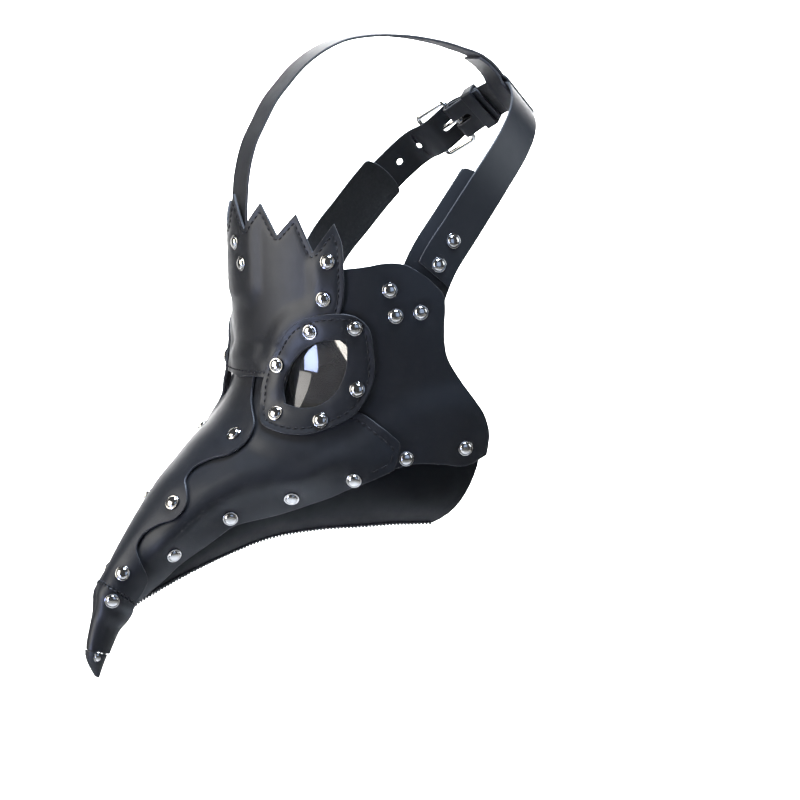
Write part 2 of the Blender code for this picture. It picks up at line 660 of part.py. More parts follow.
def loop_profile(crossing):
    """The top strap's profile: along its line, over and round the side strap, and back beneath itself."""
    run = [(s, 0.0) for s in np.arange(0, crossing - LOOP_BACK - 6, 6.0)]
    run += [(crossing - LOOP_BACK, LOOP_FLAT), (crossing - 22, LOOP_FLAT), (crossing - 14.5, LOOP_FLAT)]
    run += [(crossing - 11.5, LOOP_OPEN), (crossing, LOOP_OPEN)]
    for turn in np.radians(np.linspace(90, -90, 7)):
        run.append((crossing + LOOP_REACH + LOOP_OPEN * math.cos(turn), LOOP_OPEN * math.sin(turn)))
    run += [(crossing, -LOOP_OPEN), (crossing - 11.5, -LOOP_OPEN), (crossing - 14.5, -LOOP_FLAT)]
    return run + [(crossing - 22, -LOOP_FLAT), (crossing - LOOP_BACK, -LOOP_FLAT)]


def tail_profile(end, bar):
    """The threaded strap's profile, from its far end, under the frame and over the bar to its tip."""
    run = [(s, 0.0) for s in np.arange(end, bar + FRAME_LENGTH + 12, -6.0)]
    run += [(bar + FRAME_LENGTH + 7, -0.8), (bar + FRAME_LENGTH + 2, TAIL_UNDER_FRONT)]
    for t in np.linspace(0, 1, 9):
        height = TAIL_UNDER_FRONT + smooth(t) * (TAIL_OVER_BAR - TAIL_UNDER_FRONT)
        run.append((bar + 16 - 14 * t, height))
    return run + [(bar - 3, TAIL_OVER_BAR), (bar - 9.5, TAIL_OVER_FOLD), (bar - TAIL_LENGTH, TAIL_OVER_FOLD)]


def strip_outline(start, end, half, points, tip=0.0, root=0.0, slant=0.0):
    """A long strip with the profile's own stations along both edges, and the rungs that join them.

    Its ends are square unless tip or root rounds them, and slant moves one corner of its start.
    """
    inner = [s for s in points if start + max(root, slant) + 0.6 < s < end - tip - 0.6]
    low = [(start + root, -half), *[(s, -half) for s in inner], (end - tip, -half)]
    high = [(s, -w) for s, w in low[::-1]]
    low[0] = (start + root + slant, -half)
    nose = [(end, -half * 0.6), (end, half * 0.6)] if tip else []
    heel = [(start, half * 0.6), (start, -half * 0.6)] if root else []
    return np.array(low + nose + high + heel, float), [((s, -half), (s, half)) for s in inner]


def slot(start, end, half):
    """A long hole with round ends."""
    turn = np.linspace(-90, 90, 5) * math.pi / 180
    right = [(end - half + half * math.cos(t), half * math.sin(t)) for t in turn]
    left = [(start + half - half * math.cos(t), -half * math.sin(t)) for t in turn]
    return np.array(right + left)


def strap(name, line, profile, holes, tip, slant, leather):
    """A strap of leather that follows a profile of a line, with its thickness about the profile."""
    place, length = strap_mapper(line, profile)
    stations = lengths_along(np.array(profile, float))
    outline, rungs = strip_outline(0, length, STRAP_WIDTH / 2, stations, tip, slant=slant)
    points, faces = sheet(outline, place, -LEATHER / 2, LEATHER, STRIP_SPACING, holes, rungs)
    add_object(name, points, faces, leather)


def profile_distance(profile, index_from_end):
    """The distance along a profile to one of its last points."""
    return lengths_along(np.array(profile, float))[index_from_end]


def threaded(name_held, name_tail, line, bar, leather):
    """The two side straps: one folded on the buckle's bar, one threaded through the buckle."""
    held = fold_profile(STRAP_START, bar)
    fold = lengths_along(np.array(held))[-9]
    strap(name_held, line, held, [slot(fold - 12.5, fold + 12.5, SLOT_HALF_WIDTH)], 0, STRAP_SLANT, leather)
    tail = tail_profile(line_length(line) - STRAP_START, bar)
    stops = lengths_along(np.array(tail))
    holes = [slot(stops[-4] - 11, stops[-4] + 3.2, SLOT_HALF_WIDTH)]
    for k in range(PUNCHES):
        middle = stops[-12] - 14 - k * PUNCH_PITCH
        holes.append(slot(middle - PUNCH_RADIUS, middle + PUNCH_RADIUS + 0.01, PUNCH_RADIUS))
    strap(name_tail, line, tail, holes, 8, STRAP_SLANT, leather)


def tube(points, radius, sides, closed, normals):
    """Points and faces of a round wire along a path."""
    points = np.asarray(points, float)
    count = len(points)
    if closed:
        ahead = np.roll(points, -1, 0) - np.roll(points, 1, 0)
    else:
        ahead = np.gradient(points, axis=0)
    ahead /= np.linalg.norm(ahead, axis=1, keepdims=True)
    up = np.broadcast_to(normals, points.shape)
    side = np.cross(ahead, up)
    side /= np.linalg.norm(side, axis=1, keepdims=True)
    turn = np.linspace(0, 2 * math.pi, sides, endpoint=False)[None, :, None]
    rings = points[:, None] + radius * (np.cos(turn) * side[:, None] + np.sin(turn) * up[:, None])
    faces = []
    for k in range(count if closed else count - 1):
        for i in range(sides):
            j = (i + 1) % sides
            n = (k + 1) % count
            faces.append((k * sides + i, k * sides + j, n * sides + j, n * sides + i))
    if not closed:
        faces += [tuple(range(sides))[::-1], tuple(range((count - 1) * sides, count * sides))]
    return rings.reshape(-1, 3), faces


def move_origin(made, place):
    """Puts an object's origin at a place, leaving its mesh where it is."""
    offset = Vector(np.asarray(place) * MM)
    made.data.transform(Matrix.Translation(-offset))
    made.location = offset


def buckle(name, line, bar, nickel, leather):
    """A pin buckle on a strap's line: frame, prong and the leather keeper behind it."""
    point, forward, normal, side = (row[0] for row in line_frame(line, [bar]))

    def local(rows):
        rows = np.asarray(rows, float)
        return point + rows[:, :1] * forward + rows[:, 1:2] * side + rows[:, 2:3] * normal

    corners = [(FRAME_LENGTH, FRAME_HALF_WIDTH), (0, FRAME_HALF_WIDTH),
               (0, -FRAME_HALF_WIDTH), (FRAME_LENGTH, -FRAME_HALF_WIDTH)]
    ring = []
    for (x, y), start in zip(corners, (0, 90, 180, 270)):
        in_x = x - math.copysign(FRAME_CORNER, x - FRAME_LENGTH / 2)
        in_y = y - math.copysign(FRAME_CORNER, y)
        for turn in np.radians(np.linspace(start, start + 90, 4)):
            ring.append((in_x + FRAME_CORNER * math.cos(turn), in_y + FRAME_CORNER * math.sin(turn), 0))
    add_object(name + "_frame", *tube(local(ring), WIRE, 8, True, normal), nickel)

    hook = WIRE + 0.35 + PRONG_WIRE
    pin = [(hook * math.cos(t), 0, hook * math.sin(t)) for t in np.radians(np.linspace(235, 90, 8))]
    pin += [(7, 0, hook), (14, 0, hook), (PRONG_REACH - 1.5, 0, hook), (PRONG_REACH, 0, hook - 0.3)]
    prong = add_object(name + "_prong", *tube(local(pin), PRONG_WIRE, 8, False, side), nickel)
    move_origin(prong, point)

    half = STRAP_WIDTH / 2 + KEEPER_CLEAR
    low = -FOLD_FLAT - LEATHER / 2 - KEEPER_CLEAR
    high = TAIL_OVER_FOLD + LEATHER / 2 + KEEPER_CLEAR
    inner = [(-half, low), (half, low), (half, high), (-half, high)]
    wall = KEEPER_WALL
    outer = [(y + math.copysign(wall, y), z + (wall if z > 0 else -wall)) for y, z in inner]
    rows = []
    for x in (KEEPER_AT - KEEPER_WIDTH / 2, KEEPER_AT + KEEPER_WIDTH / 2):
        rows += [(x, y, z) for y, z in inner] + [(x, y, z) for y, z in outer]
    faces = []
    for i in range(4):
        j = (i + 1) % 4
        faces.append((i, j, j + 8, i + 8))
        faces.append((i + 4, i + 12, j + 12, j + 4))
        faces.append((i, i + 4, j + 4, j))
        faces.append((i + 8, j + 8, j + 12, i + 12))
    keeper = add_object(name + "_keeper", local(rows), faces, leather, smooth=False)
    move_origin(keeper, local([(KEEPER_AT, 0, 0)])[0])


def tabs(line, leather):
    """The tabs that come out from under the temples, curved across their width."""
    along, _ = strap_mapper(line, [(s, 0.0) for s in np.arange(0, TAB_REACH + 1, 6.0)])

    def place(flat, height):
        return along(flat, height - flat[:, 1] ** 2 / (2 * TAB_BEND))

    stations = np.arange(6, TAB_REACH, 6.0)
    outline, rungs = strip_outline(0, TAB_REACH - 4, TAB_HALF_WIDTH, stations, 4, 5)
    rungs = np.array(rungs) + TAB_SHIFT
    made = sheet(outline + TAB_SHIFT, place, -LAYER - LEATHER / 2, LEATHER, (7, 60), (), rungs)
    both_sides("temple_tab", *made, leather)


def strap_rivets(line, nickel):
    """The rivets that hold the side straps on their tabs."""
    for mirror, side in ((1, "left"), (-1, "right")):
        for i, s in enumerate(STRAP_RIVETS):
            point, _, normal, _ = (row[0] for row in line_frame(line, [STRAP_START + s]))
            place = (point + normal * (LEATHER / 2 + RIVET_CLEAR)) * [mirror, 1, 1]
            rivet(f"strap_rivet_{side}_{i + 1}", place, normal * [mirror, 1, 1], nickel)


def straps(leather, nickel):
    """Side straps with their tabs and buckle, and the top strap that loops round them at the back."""
    mirrored_half = [(-x, y, z) for x, y, z in SIDE_HALF[3::-1]]
    line = strap_line(SIDE_HALF, SIDE_CROSSING, SIDE_BUCKLED, mirrored_half)
    bar = distance_to(line, SIDE_BUCKLED[0]) + BAR_FROM_BEND
    threaded("side_strap_left", "side_strap_right", line, bar, leather)
    buckle("side_buckle", line, bar, nickel, leather)
    tabs(line, leather)
    strap_rivets(line, nickel)
    top = strap_line(TOP_FRONT, TOP_CROSSING)
    crossing = distance_to(top, TOP_CROSSING[0]) + math.dist(TOP_CROSSING[0], (0, *SIDE_CROSSING[0][1:]))
    strap("top_strap", top, loop_profile(crossing), [], 0, 0, leather)
    point, _, normal, _ = (row[0] for row in line_frame(top, [crossing - LOOP_RIVET]))
    rivet("top_strap_rivet", point + normal * (LOOP_FLAT + LEATHER / 2 + RIVET_CLEAR), normal, nickel)


def build():
    """The whole mask."""
    clear_scene()
    leather = finish_of("leather", BLACK, 0.42)
    dark = finish_of("dark_leather", DARK, 0.7)
    nickel = finish_of("nickel", NICKEL, 0.2, 1.0)
    smoke = finish_of("smoked_lens", SMOKE, 0.05)
    face_panels(leather, dark)
    beak_tip(leather, dark)
    eyes(smoke, leather)
    panel_rivets(nickel)
    straps(leather, nickel)


build()
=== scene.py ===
import math

import bmesh
import bpy
import numpy as np
from mathutils import Matrix, Vector, noise
from mathutils.geometry import delaunay_2d_cdt


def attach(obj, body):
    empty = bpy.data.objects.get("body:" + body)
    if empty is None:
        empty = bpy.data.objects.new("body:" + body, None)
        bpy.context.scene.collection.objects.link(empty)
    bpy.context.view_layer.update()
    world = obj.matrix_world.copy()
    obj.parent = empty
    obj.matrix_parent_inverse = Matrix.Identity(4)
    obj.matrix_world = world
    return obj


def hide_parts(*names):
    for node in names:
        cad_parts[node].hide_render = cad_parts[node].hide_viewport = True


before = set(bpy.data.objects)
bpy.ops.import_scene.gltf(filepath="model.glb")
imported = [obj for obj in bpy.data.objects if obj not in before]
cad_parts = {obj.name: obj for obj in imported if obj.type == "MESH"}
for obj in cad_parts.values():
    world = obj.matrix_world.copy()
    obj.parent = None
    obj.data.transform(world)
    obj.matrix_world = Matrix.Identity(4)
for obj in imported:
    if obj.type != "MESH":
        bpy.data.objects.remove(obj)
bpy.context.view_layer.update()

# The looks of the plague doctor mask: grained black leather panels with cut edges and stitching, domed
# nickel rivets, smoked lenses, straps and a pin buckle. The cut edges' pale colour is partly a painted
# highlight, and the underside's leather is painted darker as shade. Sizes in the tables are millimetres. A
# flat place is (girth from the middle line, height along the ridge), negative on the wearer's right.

MM = 0.001

# Leather
LEATHER = 1.4
LAYER = 2.0
DRAPE_FROM = 4.0
DRAPE_TO = 14.0
SEAM_GAP = 0.2

# The mask's outer form, one row for each cross-section from the forehead to the point: ridge y,
# ridge z, rear y, rear z, half width, share of its depth where it is widest, rear half width, and how
# far the innermost leather lies inside it at the ridge and at the sides
SECTIONS = np.array(
    [
        [-1.0, 104, 98, 104, 70, 1.00, 70, 0.0, 0.0],
        [-1.0, 60, 98, 60, 76, 1.00, 76, 1.0, 0.0],
        [-1.0, 25, 98, 25, 77, 1.00, 77, 2.6, 0.0],
        [-2.0, 0, 108, -10, 76, 0.97, 76, 5.6, 0.0],
        [-7.0, -12, 114, -42, 73, 0.88, 70, 5.2, 0.0],
        [-14.0, -22, 101, -70, 66, 0.74, 52, 4.0, 0.0],
        [-22.0, -30, 64, -74, 52, 0.62, 38, 3.6, 0.0],
        [-33.5, -42, 31, -77, 38, 0.54, 22, 3.8, 0.0],
        [-43.0, -51.5, 10, -82, 29, 0.52, 9, 3.9, 0.5],
        [-50.5, -61, -9, -90, 23, 0.52, 1.0, 4.0, 1.0],
        [-60.0, -74.5, -29, -98.5, 16.5, 0.52, 0.5, 4.0, 2.0],
        [-69.5, -89, -46, -107, 12, 0.52, 0.4, 4.2, 3.0],
        [-77.5, -102, -58.5, -114, 9, 0.55, 0.4, 4.4, 3.6],
        [-82.0, -123, -67.5, -127, 6, 0.55, 0.6, 1.8, 1.5],
        [-84.0, -141, -75, -143.5, 3.4, 0.55, 0.8, 1.6, 1.0],
        [-79.8, -149.6, -77.8, -150.8, 1.2, 0.55, 0.7, 0.6, 0.0],
    ]
)
EYE_SECTION = 3
GIRTH_STEPS = 120
SUNK_FALL = 4
SUNK_ROUND = 0.8

# The moulded cheek roll of the beak, as (girth, height) points, and the swell and the hollow beside it
ROLL = [(20, -105), (26, -78), (33, -62), (41, -50), (54, -39), (70, -33), (82, -25)]
ROLL_SWELL = 2.0
ROLL_HOLLOW = 1.6
ROLL_WIDTH = 7.0
ROLL_FADE = 16.0
HOLLOW_BELOW = 12.0

# Panel outlines as (girth from the middle line, height along the ridge, 1 at a corner)
CROWN = [
    (0, 93, 1), (10.8, 75.5, 1), (21.5, 89, 1), (32.5, 73, 1), (43.5, 84, 1), (53.5, 65, 1),
    (64, 79.5, 1), (68.5, 69, 0), (70, 56, 0), (70, 41, 0), (67.5, 30.5, 1), (59, 28.5, 0),
    (47, 25, 0), (38, 18.5, 0), (31.5, 8.5, 0), (30, 1, 1), (14, 0.5, 0), (0, -1, 1),
]
CHEEK = [
    (62, 56, 1), (80, 58, 0), (92, 60, 0), (99, 59.5, 0), (107, 55.5, 0), (115, 49, 0),
    (120.3, 42.5, 0), (121, 36, 0), (120.5, 26, 0), (122, 13, 0), (129, 4.7, 0), (136, 0, 0),
    (143, -4, 0), (147, -8, 0), (148, -12, 1), (141, -15, 0), (127, -16.5, 0), (113, -18.5, 0),
    (103, -22, 1), (94, -21, 0), (84, -17, 0), (70, -20, 0), (50, -22, 0), (36, -21, 0),
    (29, -12, 0), (28, 0, 0), (33, 14, 0), (44, 26, 0), (56, 31, 0), (62, 40, 0),
]
BEAK_SIDE = [
    (SEAM_GAP, 5, 1), (28, 5, 1), (29.5, -5, 0), (34, -13.5, 0), (43, -17, 0), (53, -16.5, 0),
    (63, -13, 0), (72, -7.5, 0), (80, -7.5, 0), (90, -10, 0), (98.5, -12.5, 0), (103.5, -14.5, 0),
    (104.5, -17.5, 0), (105.5, -21, 1), (94, -28.5, 0), (84, -38, 0), (73.5, -49.5, 0),
    (61.5, -60, 0), (50.5, -70, 0), (42.5, -84, 0), (36.5, -97, 0), (31, -112, 0),
    (26.5, -126.5, 1), (SEAM_GAP, -126.5, 1),
]
JAW_TOP = [
    (13, -136, 1), (17.5, -126.5, 0), (24, -108, 0), (33, -86, 0), (45, -66, 0), (66, -45, 0),
    (86, -26, 0), (100, -14, 0), (122, -8, 0), (138, -7, 1), (145.5, -13, 0), (147, -20, 0),
]
JAW_HEM_HEIGHTS = [-30, -36, -42, -50, -60, -72, -85, -100, -115, -126.5, -136]
NOSE_STRIP = [
    (0, 6, 1), (13, 6, 1), (13, -3, 0), (16.5, -10, 0), (23.5, -16.5, 0), (30.5, -23, 0),
    (32.5, -31, 0), (29.5, -40, 0), (20.5, -47.5, 0), (15, -55, 0), (16, -62, 0), (21.5, -67, 0),
    (25, -72, 0), (24, -79, 0), (16.5, -88, 0), (12, -96, 0), (12.5, -103, 0), (18, -107.5, 0),
    (23, -111, 0), (24, -118, 0), (23, -126.5, 1), (0, -126.5, 1),
]
EYE_PATCH = [
    (33, -21, 0), (27.5, -15, 0), (25.5, -6, 0), (26, 5, 0), (34, 18, 0), (46, 29.5, 0),
    (61.5, 34, 0), (77, 32.5, 0), (82.5, 27.5, 0), (84.5, 14.5, 0), (84, 4, 0), (77.5, -8, 0),
    (69, -14, 0), (57.5, -20, 0), (44, -22.5, 0),
]
EYE_OPENING = [
    (40.5, -9.5, 1), (37.5, -3, 0), (38.5, 5.5, 0), (43, 12, 0), (51, 18, 0), (60, 21.5, 0),
    (71.5, 22, 1), (71, 14, 0), (69, 5.5, 0), (65, -2.5, 0), (57, -8, 0), (49, -9.8, 0),
]
EYE_CENTRE = (54.5, 6)
UNDER_OPENING_SCALE = 1.13
LENS_RADII = (26, 24)
LENS_LOW = -1.9
LENS_THICK = 1.0
RETAINER_RADII = (28.5, 26.5)
RETAINER_OPENING = (20.5, 18.5)
RETAINER_LOW = -3.7
TIP_CAP_TOP = -127
TIP_CAP_END = -161.8
TIP_CAP_CLEAR = 7
TIP_CLEAR_LENGTH = 13
TIP_END_TOP = -162.3

# Rivets: cap radius and height, and their places as (girth, height)
RIVET_RADIUS = 3.8
RIVET_HEIGHT = 1.7
CROWN_RIVETS = [(1, 68.5), (7.5, 58), (62, 60.5), (-62, 60.5), (60, 41.5), (-60, 41.5)]
TEMPLE_RIVETS = [(93, 46), (96, 33), (108.5, 34.5)]
ROW_RIVETS = [(30.5, -94.5), (47, -68), (68.5, -46), (90, -28), (109, -17.5), (136, -11.5)]
STRAP_RIVETS = [9, 23.5]

# The head that the straps lie on: centre and half sizes
HEAD_CENTRE = np.array([0.0, 90.0, 55.0])
HEAD_RADII = np.array([76.0, 95.0, 122.0])

# The straps
STRAP_WIDTH = 20
STRIP_SPACING = (60, 60)
STRAP_START = 24.0
STRAP_SLANT = 6.0
TAB_REACH = 90
TAB_HALF_WIDTH = 13.2
TAB_SHIFT = np.array([0, -2.2])
TAB_BEND = 55
SIDE_HALF = [(71, 66, 28), (74.5, 78, 60), (72, 91, 77), (66, 110.5, 101), (54, 128, 119),
             (43, 137.5, 128.5), (32, 143.5, 134.5), (18, 148.5, 139.5)]
SIDE_CROSSING = [(11, 150.2, 141.2), (-11, 150.2, 141.2)]
SIDE_BUCKLED = [(-16, 149.6, 140.4), (-60, 125, 115)]
TOP_FRONT = [(0, 0.2, 50), (0, -0.2, 68), (0, -0.4, 86), (0, 1.8, 108), (0, 5, 119), (0, 10.5, 130),
             (0, 16, 140), (0, 23, 148.5), (0, 30, 156.2), (0, 42, 165.2), (0, 54, 170.6), (0, 68, 172.8),
             (0, 84, 173), (0, 100, 171.2), (0, 116, 167.6), (0, 128, 162.8), (0, 136, 157.5)]
TOP_CROSSING = [(0, 142, 150.6), (0, 158.7, 131.4)]
STRAIGHT_SHARES = (0, 0.1, 0.5, 0.9, 1)
BAR_FROM_BEND = 27

# The loop of the top strap round the side strap, measured along it from where the two cross
LOOP_FLAT = 0.95
LOOP_OPEN = 1.8
LOOP_REACH = 10.8
LOOP_BACK = 30
LOOP_RIVET = 21

# A pin buckle, measured along the strap from its bar, and above the strap's line
WIRE = 1.3
FRAME_LENGTH = 19.5
FRAME_HALF_WIDTH = 13.2
FRAME_CORNER = 2.4
PRONG_WIRE = 1.0
PRONG_REACH = 21.6
FOLD_RADIUS = 2.4
FOLD_LENGTH = 22
FOLD_FLAT = 1.0
SLOT_HALF_WIDTH = 1.7
TAIL_LENGTH = 25
TAIL_OVER_FOLD = 2.9
TAIL_OVER_BAR = 5.0
TAIL_UNDER_FRONT = -2.4
PUNCH_RADIUS = 1.7
PUNCH_PITCH = 14
PUNCHES = 3
KEEPER_AT = -15.5
KEEPER_WIDTH = 7
KEEPER_WALL = 1.2
KEEPER_CLEAR = 0.6

# Rivets that only this model shows, as (girth, height)
EYE_RIVETS = [(53.5, 25.5), (76, 27.5), (33.5, 9), (38, -15), (62, -13), (76.5, 0.5)]
RIDGE_RIVETS = [(22, -30.5), (18, -75), (12, -117)]
TIP_RIVETS = [(11.5, -133)]
END_RIVET = (7.7, -164.0)
END_RIVET_PROUD = 1.0
END_RIVET_TILT = [0, 0.35, 0]
END_RIVET_SCALE = 0.9
END_PIN_SCALE = 0.16

# The stem of the end piece, inside the tip cap
STEM_SCALE = 0.84
STEM_LENGTH = 4.0

# A rivet cap's profile, as shares of its radius and height
RIVET_PROFILE = [(1.0, 0.0), (1.0, 0.14), (0.95, 0.22), (0.85, 0.2), (0.82, 0.12), (0.8, 0.36),
                 (0.72, 0.6), (0.58, 0.79), (0.4, 0.92), (0.2, 0.98)]
RIVET_AROUND = 32

# Surface detail
FINE = 1.7
EDGE_ROUND = 0.32
WAVE = 0.09
WAVE_SIZE = 22
RIVET_DENT = 0.35
RIVET_DENT_REACH = 2.2
STITCH_INSET = 2.7
STITCH_PITCH = 3.4
STITCH_LENGTH = 2.5
STITCH_THREAD = 0.38
STITCH_GROOVE = 0.3
GROOVE_WIDTH = 0.8
SEAM_STEP = 1.1
CHEEK_SEAM_FROM = (74, -24)
CROWN_SEAM_GAP = (12, 3.5)
TIP_SEAM_HEIGHT = -126.8
TIP_SEAM_HALF = 21
TIP_SEAM_PITCH = 2.1
RIB_DEPTH = 0.22
HEM_PITCH = 1.8
HEM_BAND = 3.8
HEM_THREAD = 0.7

# The overlock's loop and its knot: out past the edge, up from the leather's back, and along in pitches
HEM_LOOP = [
    (-HEM_BAND, LEATHER + 0.1, -0.45), (-HEM_BAND + 0.8, LEATHER + 0.42, -0.36),
    (-1.6, LEATHER + 0.5, -0.15), (-0.5, LEATHER + 0.36, 0), (-0.1, LEATHER * 0.5, 0.05),
    (-0.3, -0.4, 0.15), (-1.8, -0.42, 0.3), (-HEM_BAND, -0.15, 0.5),
]
HEM_KNOT = [
    (-HEM_BAND, LEATHER + 0.15, -0.75), (-HEM_BAND - 0.15, LEATHER + 0.4, -0.3),
    (-HEM_BAND, LEATHER + 0.4, 0.1), (-HEM_BAND + 0.1, LEATHER + 0.1, 0.4),
]

# Camera and light
CAMERA_TURN = 67
CAMERA_RISE = 5
CAMERA_FAR = 2200
CAMERA_AIM = (32.7, 74.2, -12.2)
VIEW_WIDTH = 408
SENSOR = 36
FLOOR = -0.75
BACKDROP_FAR = 1.2
BACKDROP_NEAR = 2.6
BACKDROP_HIGH = 3.2
BACKDROP_WIDE = 3
WORLD_STRENGTH = 0.06

# Lights in metres: name, place, aim, size, power, colour and spread in degrees
SOFTBOXES = [
    ("key", (-0.15, -1.75, 0.4), (0, 0.02, 0), 1.3, 9, (1, 0.975, 0.93), 110),
    ("window", (0.36, -1.5, -0.42), (0.05, 0, 0), 0.4, 1.0, (0.5, 0.6, 1), 60),
    ("top", (0.25, 0.1, 1.5), (0, 0.02, 0), 0.6, 7, (0.66, 0.78, 1), 60),
    ("side_fill", (1.8, 0.1, 0.4), (0, 0.05, 0), 1.2, 0.8, (0.5, 0.66, 1), 90),
    ("rear_fill", (0.6, 1.9, 0.6), (0, 0.1, 0), 1.2, 3, (0.85, 0.92, 1), 90),
    ("backdrop_1", (-0.9, -0.3, 1.5), (-2.1, 0.9, 0.3), 0.9, 40, (1, 1, 1), 65),
    ("backdrop_2", (-0.4, 1.3, 1.5), (-2.1, 0.9, 0.3), 0.9, 40, (1, 1, 1), 65),
]


def through(stops, rows, at):
    """A smooth curve through rows, each at its stop, read at the places in at."""
    stops = np.asarray(stops, float)
    rows = np.asarray(rows, float)
    at = np.asarray(at, float)
    gaps = np.diff(stops)[:, None]
    rise = np.diff(rows, axis=0) / gaps
    slope = np.empty_like(rows)
    slope[0], slope[-1] = rise[0], rise[-1]
    slope[1:-1] = (rise[:-1] * gaps[1:] + rise[1:] * gaps[:-1]) / (gaps[1:] + gaps[:-1])
    i = np.clip(np.searchsorted(stops, at, side="right") - 1, 0, len(stops) - 2)
    gap = gaps[i, 0][..., None]
    t = (at - stops[i])[..., None] / gap
    t2, t3 = t * t, t * t * t
    start = (2 * t3 - 3 * t2 + 1) * rows[i] + (t3 - 2 * t2 + t) * gap * slope[i]
    return start + (3 * t2 - 2 * t3) * rows[i + 1] + (t3 - t2) * gap * slope[i + 1]


def lengths_along(points):
    """The distance along a line of points, from its start to each of them."""
    steps = np.linalg.norm(np.diff(points, axis=0), axis=1)
    return np.concatenate([[0.0], np.cumsum(steps)])


def read_at(rows, stops, at):
    """The first two columns of rows, read in straight steps at places along their stops."""
    return np.stack([np.interp(at, stops, rows[:, k]) for k in (0, 1)], 1)


RIDGE_HEIGHTS = -lengths_along(SECTIONS[:, :2])
RIDGE_HEIGHTS -= RIDGE_HEIGHTS[EYE_SECTION]


def section_point(height, share, inner=True):
    """A point of the inner form, or of the outer one.

    Share runs from 0 at the ridge, by 0.5 at the widest place, to 1 at the rear.
    """
    row = through(-RIDGE_HEIGHTS, SECTIONS, -np.asarray(height, float))
    ridge_y, ridge_z, rear_y, rear_z, half, widest, rear_half, sunk, narrowed = np.moveaxis(row, -1, 0)
    share = np.asarray(share, float)
    turn = np.clip(share * 2, 0, 1) * math.pi / 2
    rest = np.clip(share * 2 - 1, 0, 1)
    depth = widest * (1 - np.cos(turn)) + (1 - widest) * rest
    if inner:
        deep = np.hypot(rear_y - ridge_y, rear_z - ridge_z)
        fall = np.clip(SUNK_ROUND * widest * deep / np.maximum(sunk, 0.1), 1, SUNK_FALL)
        depth = depth + sunk * np.cos(turn) ** fall / deep
        half = half - narrowed
    x = half * np.sin(turn) - (half - rear_half) * rest**2
    y = ridge_y + depth * (rear_y - ridge_y)
    z = ridge_z + depth * (rear_z - ridge_z)
    return np.stack(np.broadcast_arrays(x, y, z), -1)


def girths(height):
    """The outer girth from the ridge to each step of the sections at these heights."""
    shares = np.linspace(0, 1, GIRTH_STEPS + 1)
    rows = section_point(np.asarray(height, float)[:, None], shares[None, :], inner=False)
    steps = np.linalg.norm(np.diff(rows, axis=1), axis=2)
    return np.concatenate([np.zeros((len(rows), 1)), np.cumsum(steps, 1)], 1)


def girth_end(height):
    """The girth from the ridge to the rear edge of the form at one height."""
    return girths(np.array([height]))[0, -1]


def form_point(flat):
    """The form's points at rows of (girth, height). A negative girth is on the wearer's right."""
    girth, height = np.asarray(flat, float).T
    table = girths(height)
    wanted = np.clip(np.abs(girth), 0, table[:, -1])
    i = (table[:, 1:-1] < wanted[:, None]).sum(1)
    pick = np.arange(len(i))
    low, high = table[pick, i], table[pick, i + 1]
    share = (i + (wanted - low) / np.maximum(high - low, 1e-9)) / GIRTH_STEPS
    points = section_point(height, share)
    points[:, 0] *= np.where(girth < 0, -1, 1)
    return points


def form_normal(flat, reach=0.6):
    """The form's outward direction at rows of (girth, height)."""
    flat = np.asarray(flat, float)
    inner = flat.copy()
    ends = girths(flat[:, 1])[:, -1] - reach
    inner[:, 0] = np.clip(flat[:, 0], -ends, ends)
    across = form_point(inner + [reach, 0]) - form_point(inner - [reach, 0])
    along = form_point(inner + [0, reach]) - form_point(inner - [0, reach])
    normal = np.cross(along, across)
    normal /= np.linalg.norm(normal, axis=1, keepdims=True)
    return -normal


def smooth(share):
    """Rises gently from 0 to 1 as share does."""
    share = np.clip(share, 0, 1)
    return share * share * (3 - 2 * share)


def nearest(points, line):
    """Distance from points to a line of points, its side (positive on the left) and how far along."""
    points = np.asarray(points, float)[:, None, :]
    start, run = line[:-1][None], np.diff(line, axis=0)[None]
    t = np.clip(((points - start) * run).sum(2) / (run**2).sum(2), 0, 1)
    off = points - (start + t[..., None] * run)
    far = np.linalg.norm(off, axis=2)
    k = far.argmin(1)
    pick = np.arange(len(k))
    run, off = run[0, k], off[pick, k]
    along = lengths_along(line)[k] + t[pick, k] * np.linalg.norm(run, axis=1)
    return far[pick, k], np.sign(run[:, 0] * off[:, 1] - run[:, 1] * off[:, 0]), along


def inside(points, outline):
    """True for the points inside a closed outline."""
    x, y = np.asarray(points, float).T[:, :, None]
    ax, ay = outline.T[:, None, :]
    bx, by = np.roll(outline, -1, 0).T[:, None, :]
    crosses = (ay > y) != (by > y)
    at = ax + (y - ay) * (bx - ax) / np.where(by == ay, 1e-9, by - ay)
    return ((x < at) & crosses).sum(1) % 2 == 1


def outside_by(points, outline):
    """Distance outside a closed outline, negative inside."""
    far = nearest(points, np.vstack([outline, outline[:1]]))[0]
    return np.where(inside(points, outline), -far, far)


def mould(flat):
    """How far the beak's moulded roll stands off the form and its hollow sinks, fading at both ends."""
    folded = np.column_stack([np.abs(flat[:, 0]), flat[:, 1]])
    roll = np.array(ROLL, float)
    far, side, along = nearest(folded, roll)
    above = far * side
    swell = ROLL_SWELL * np.exp(-((above / ROLL_WIDTH) ** 2))
    hollow = ROLL_HOLLOW * np.exp(-(((above + HOLLOW_BELOW) / ROLL_WIDTH) ** 2))
    left = lengths_along(roll)[-1] - along
    return (swell - hollow) * smooth(along / ROLL_FADE) * smooth(left / ROLL_FADE)


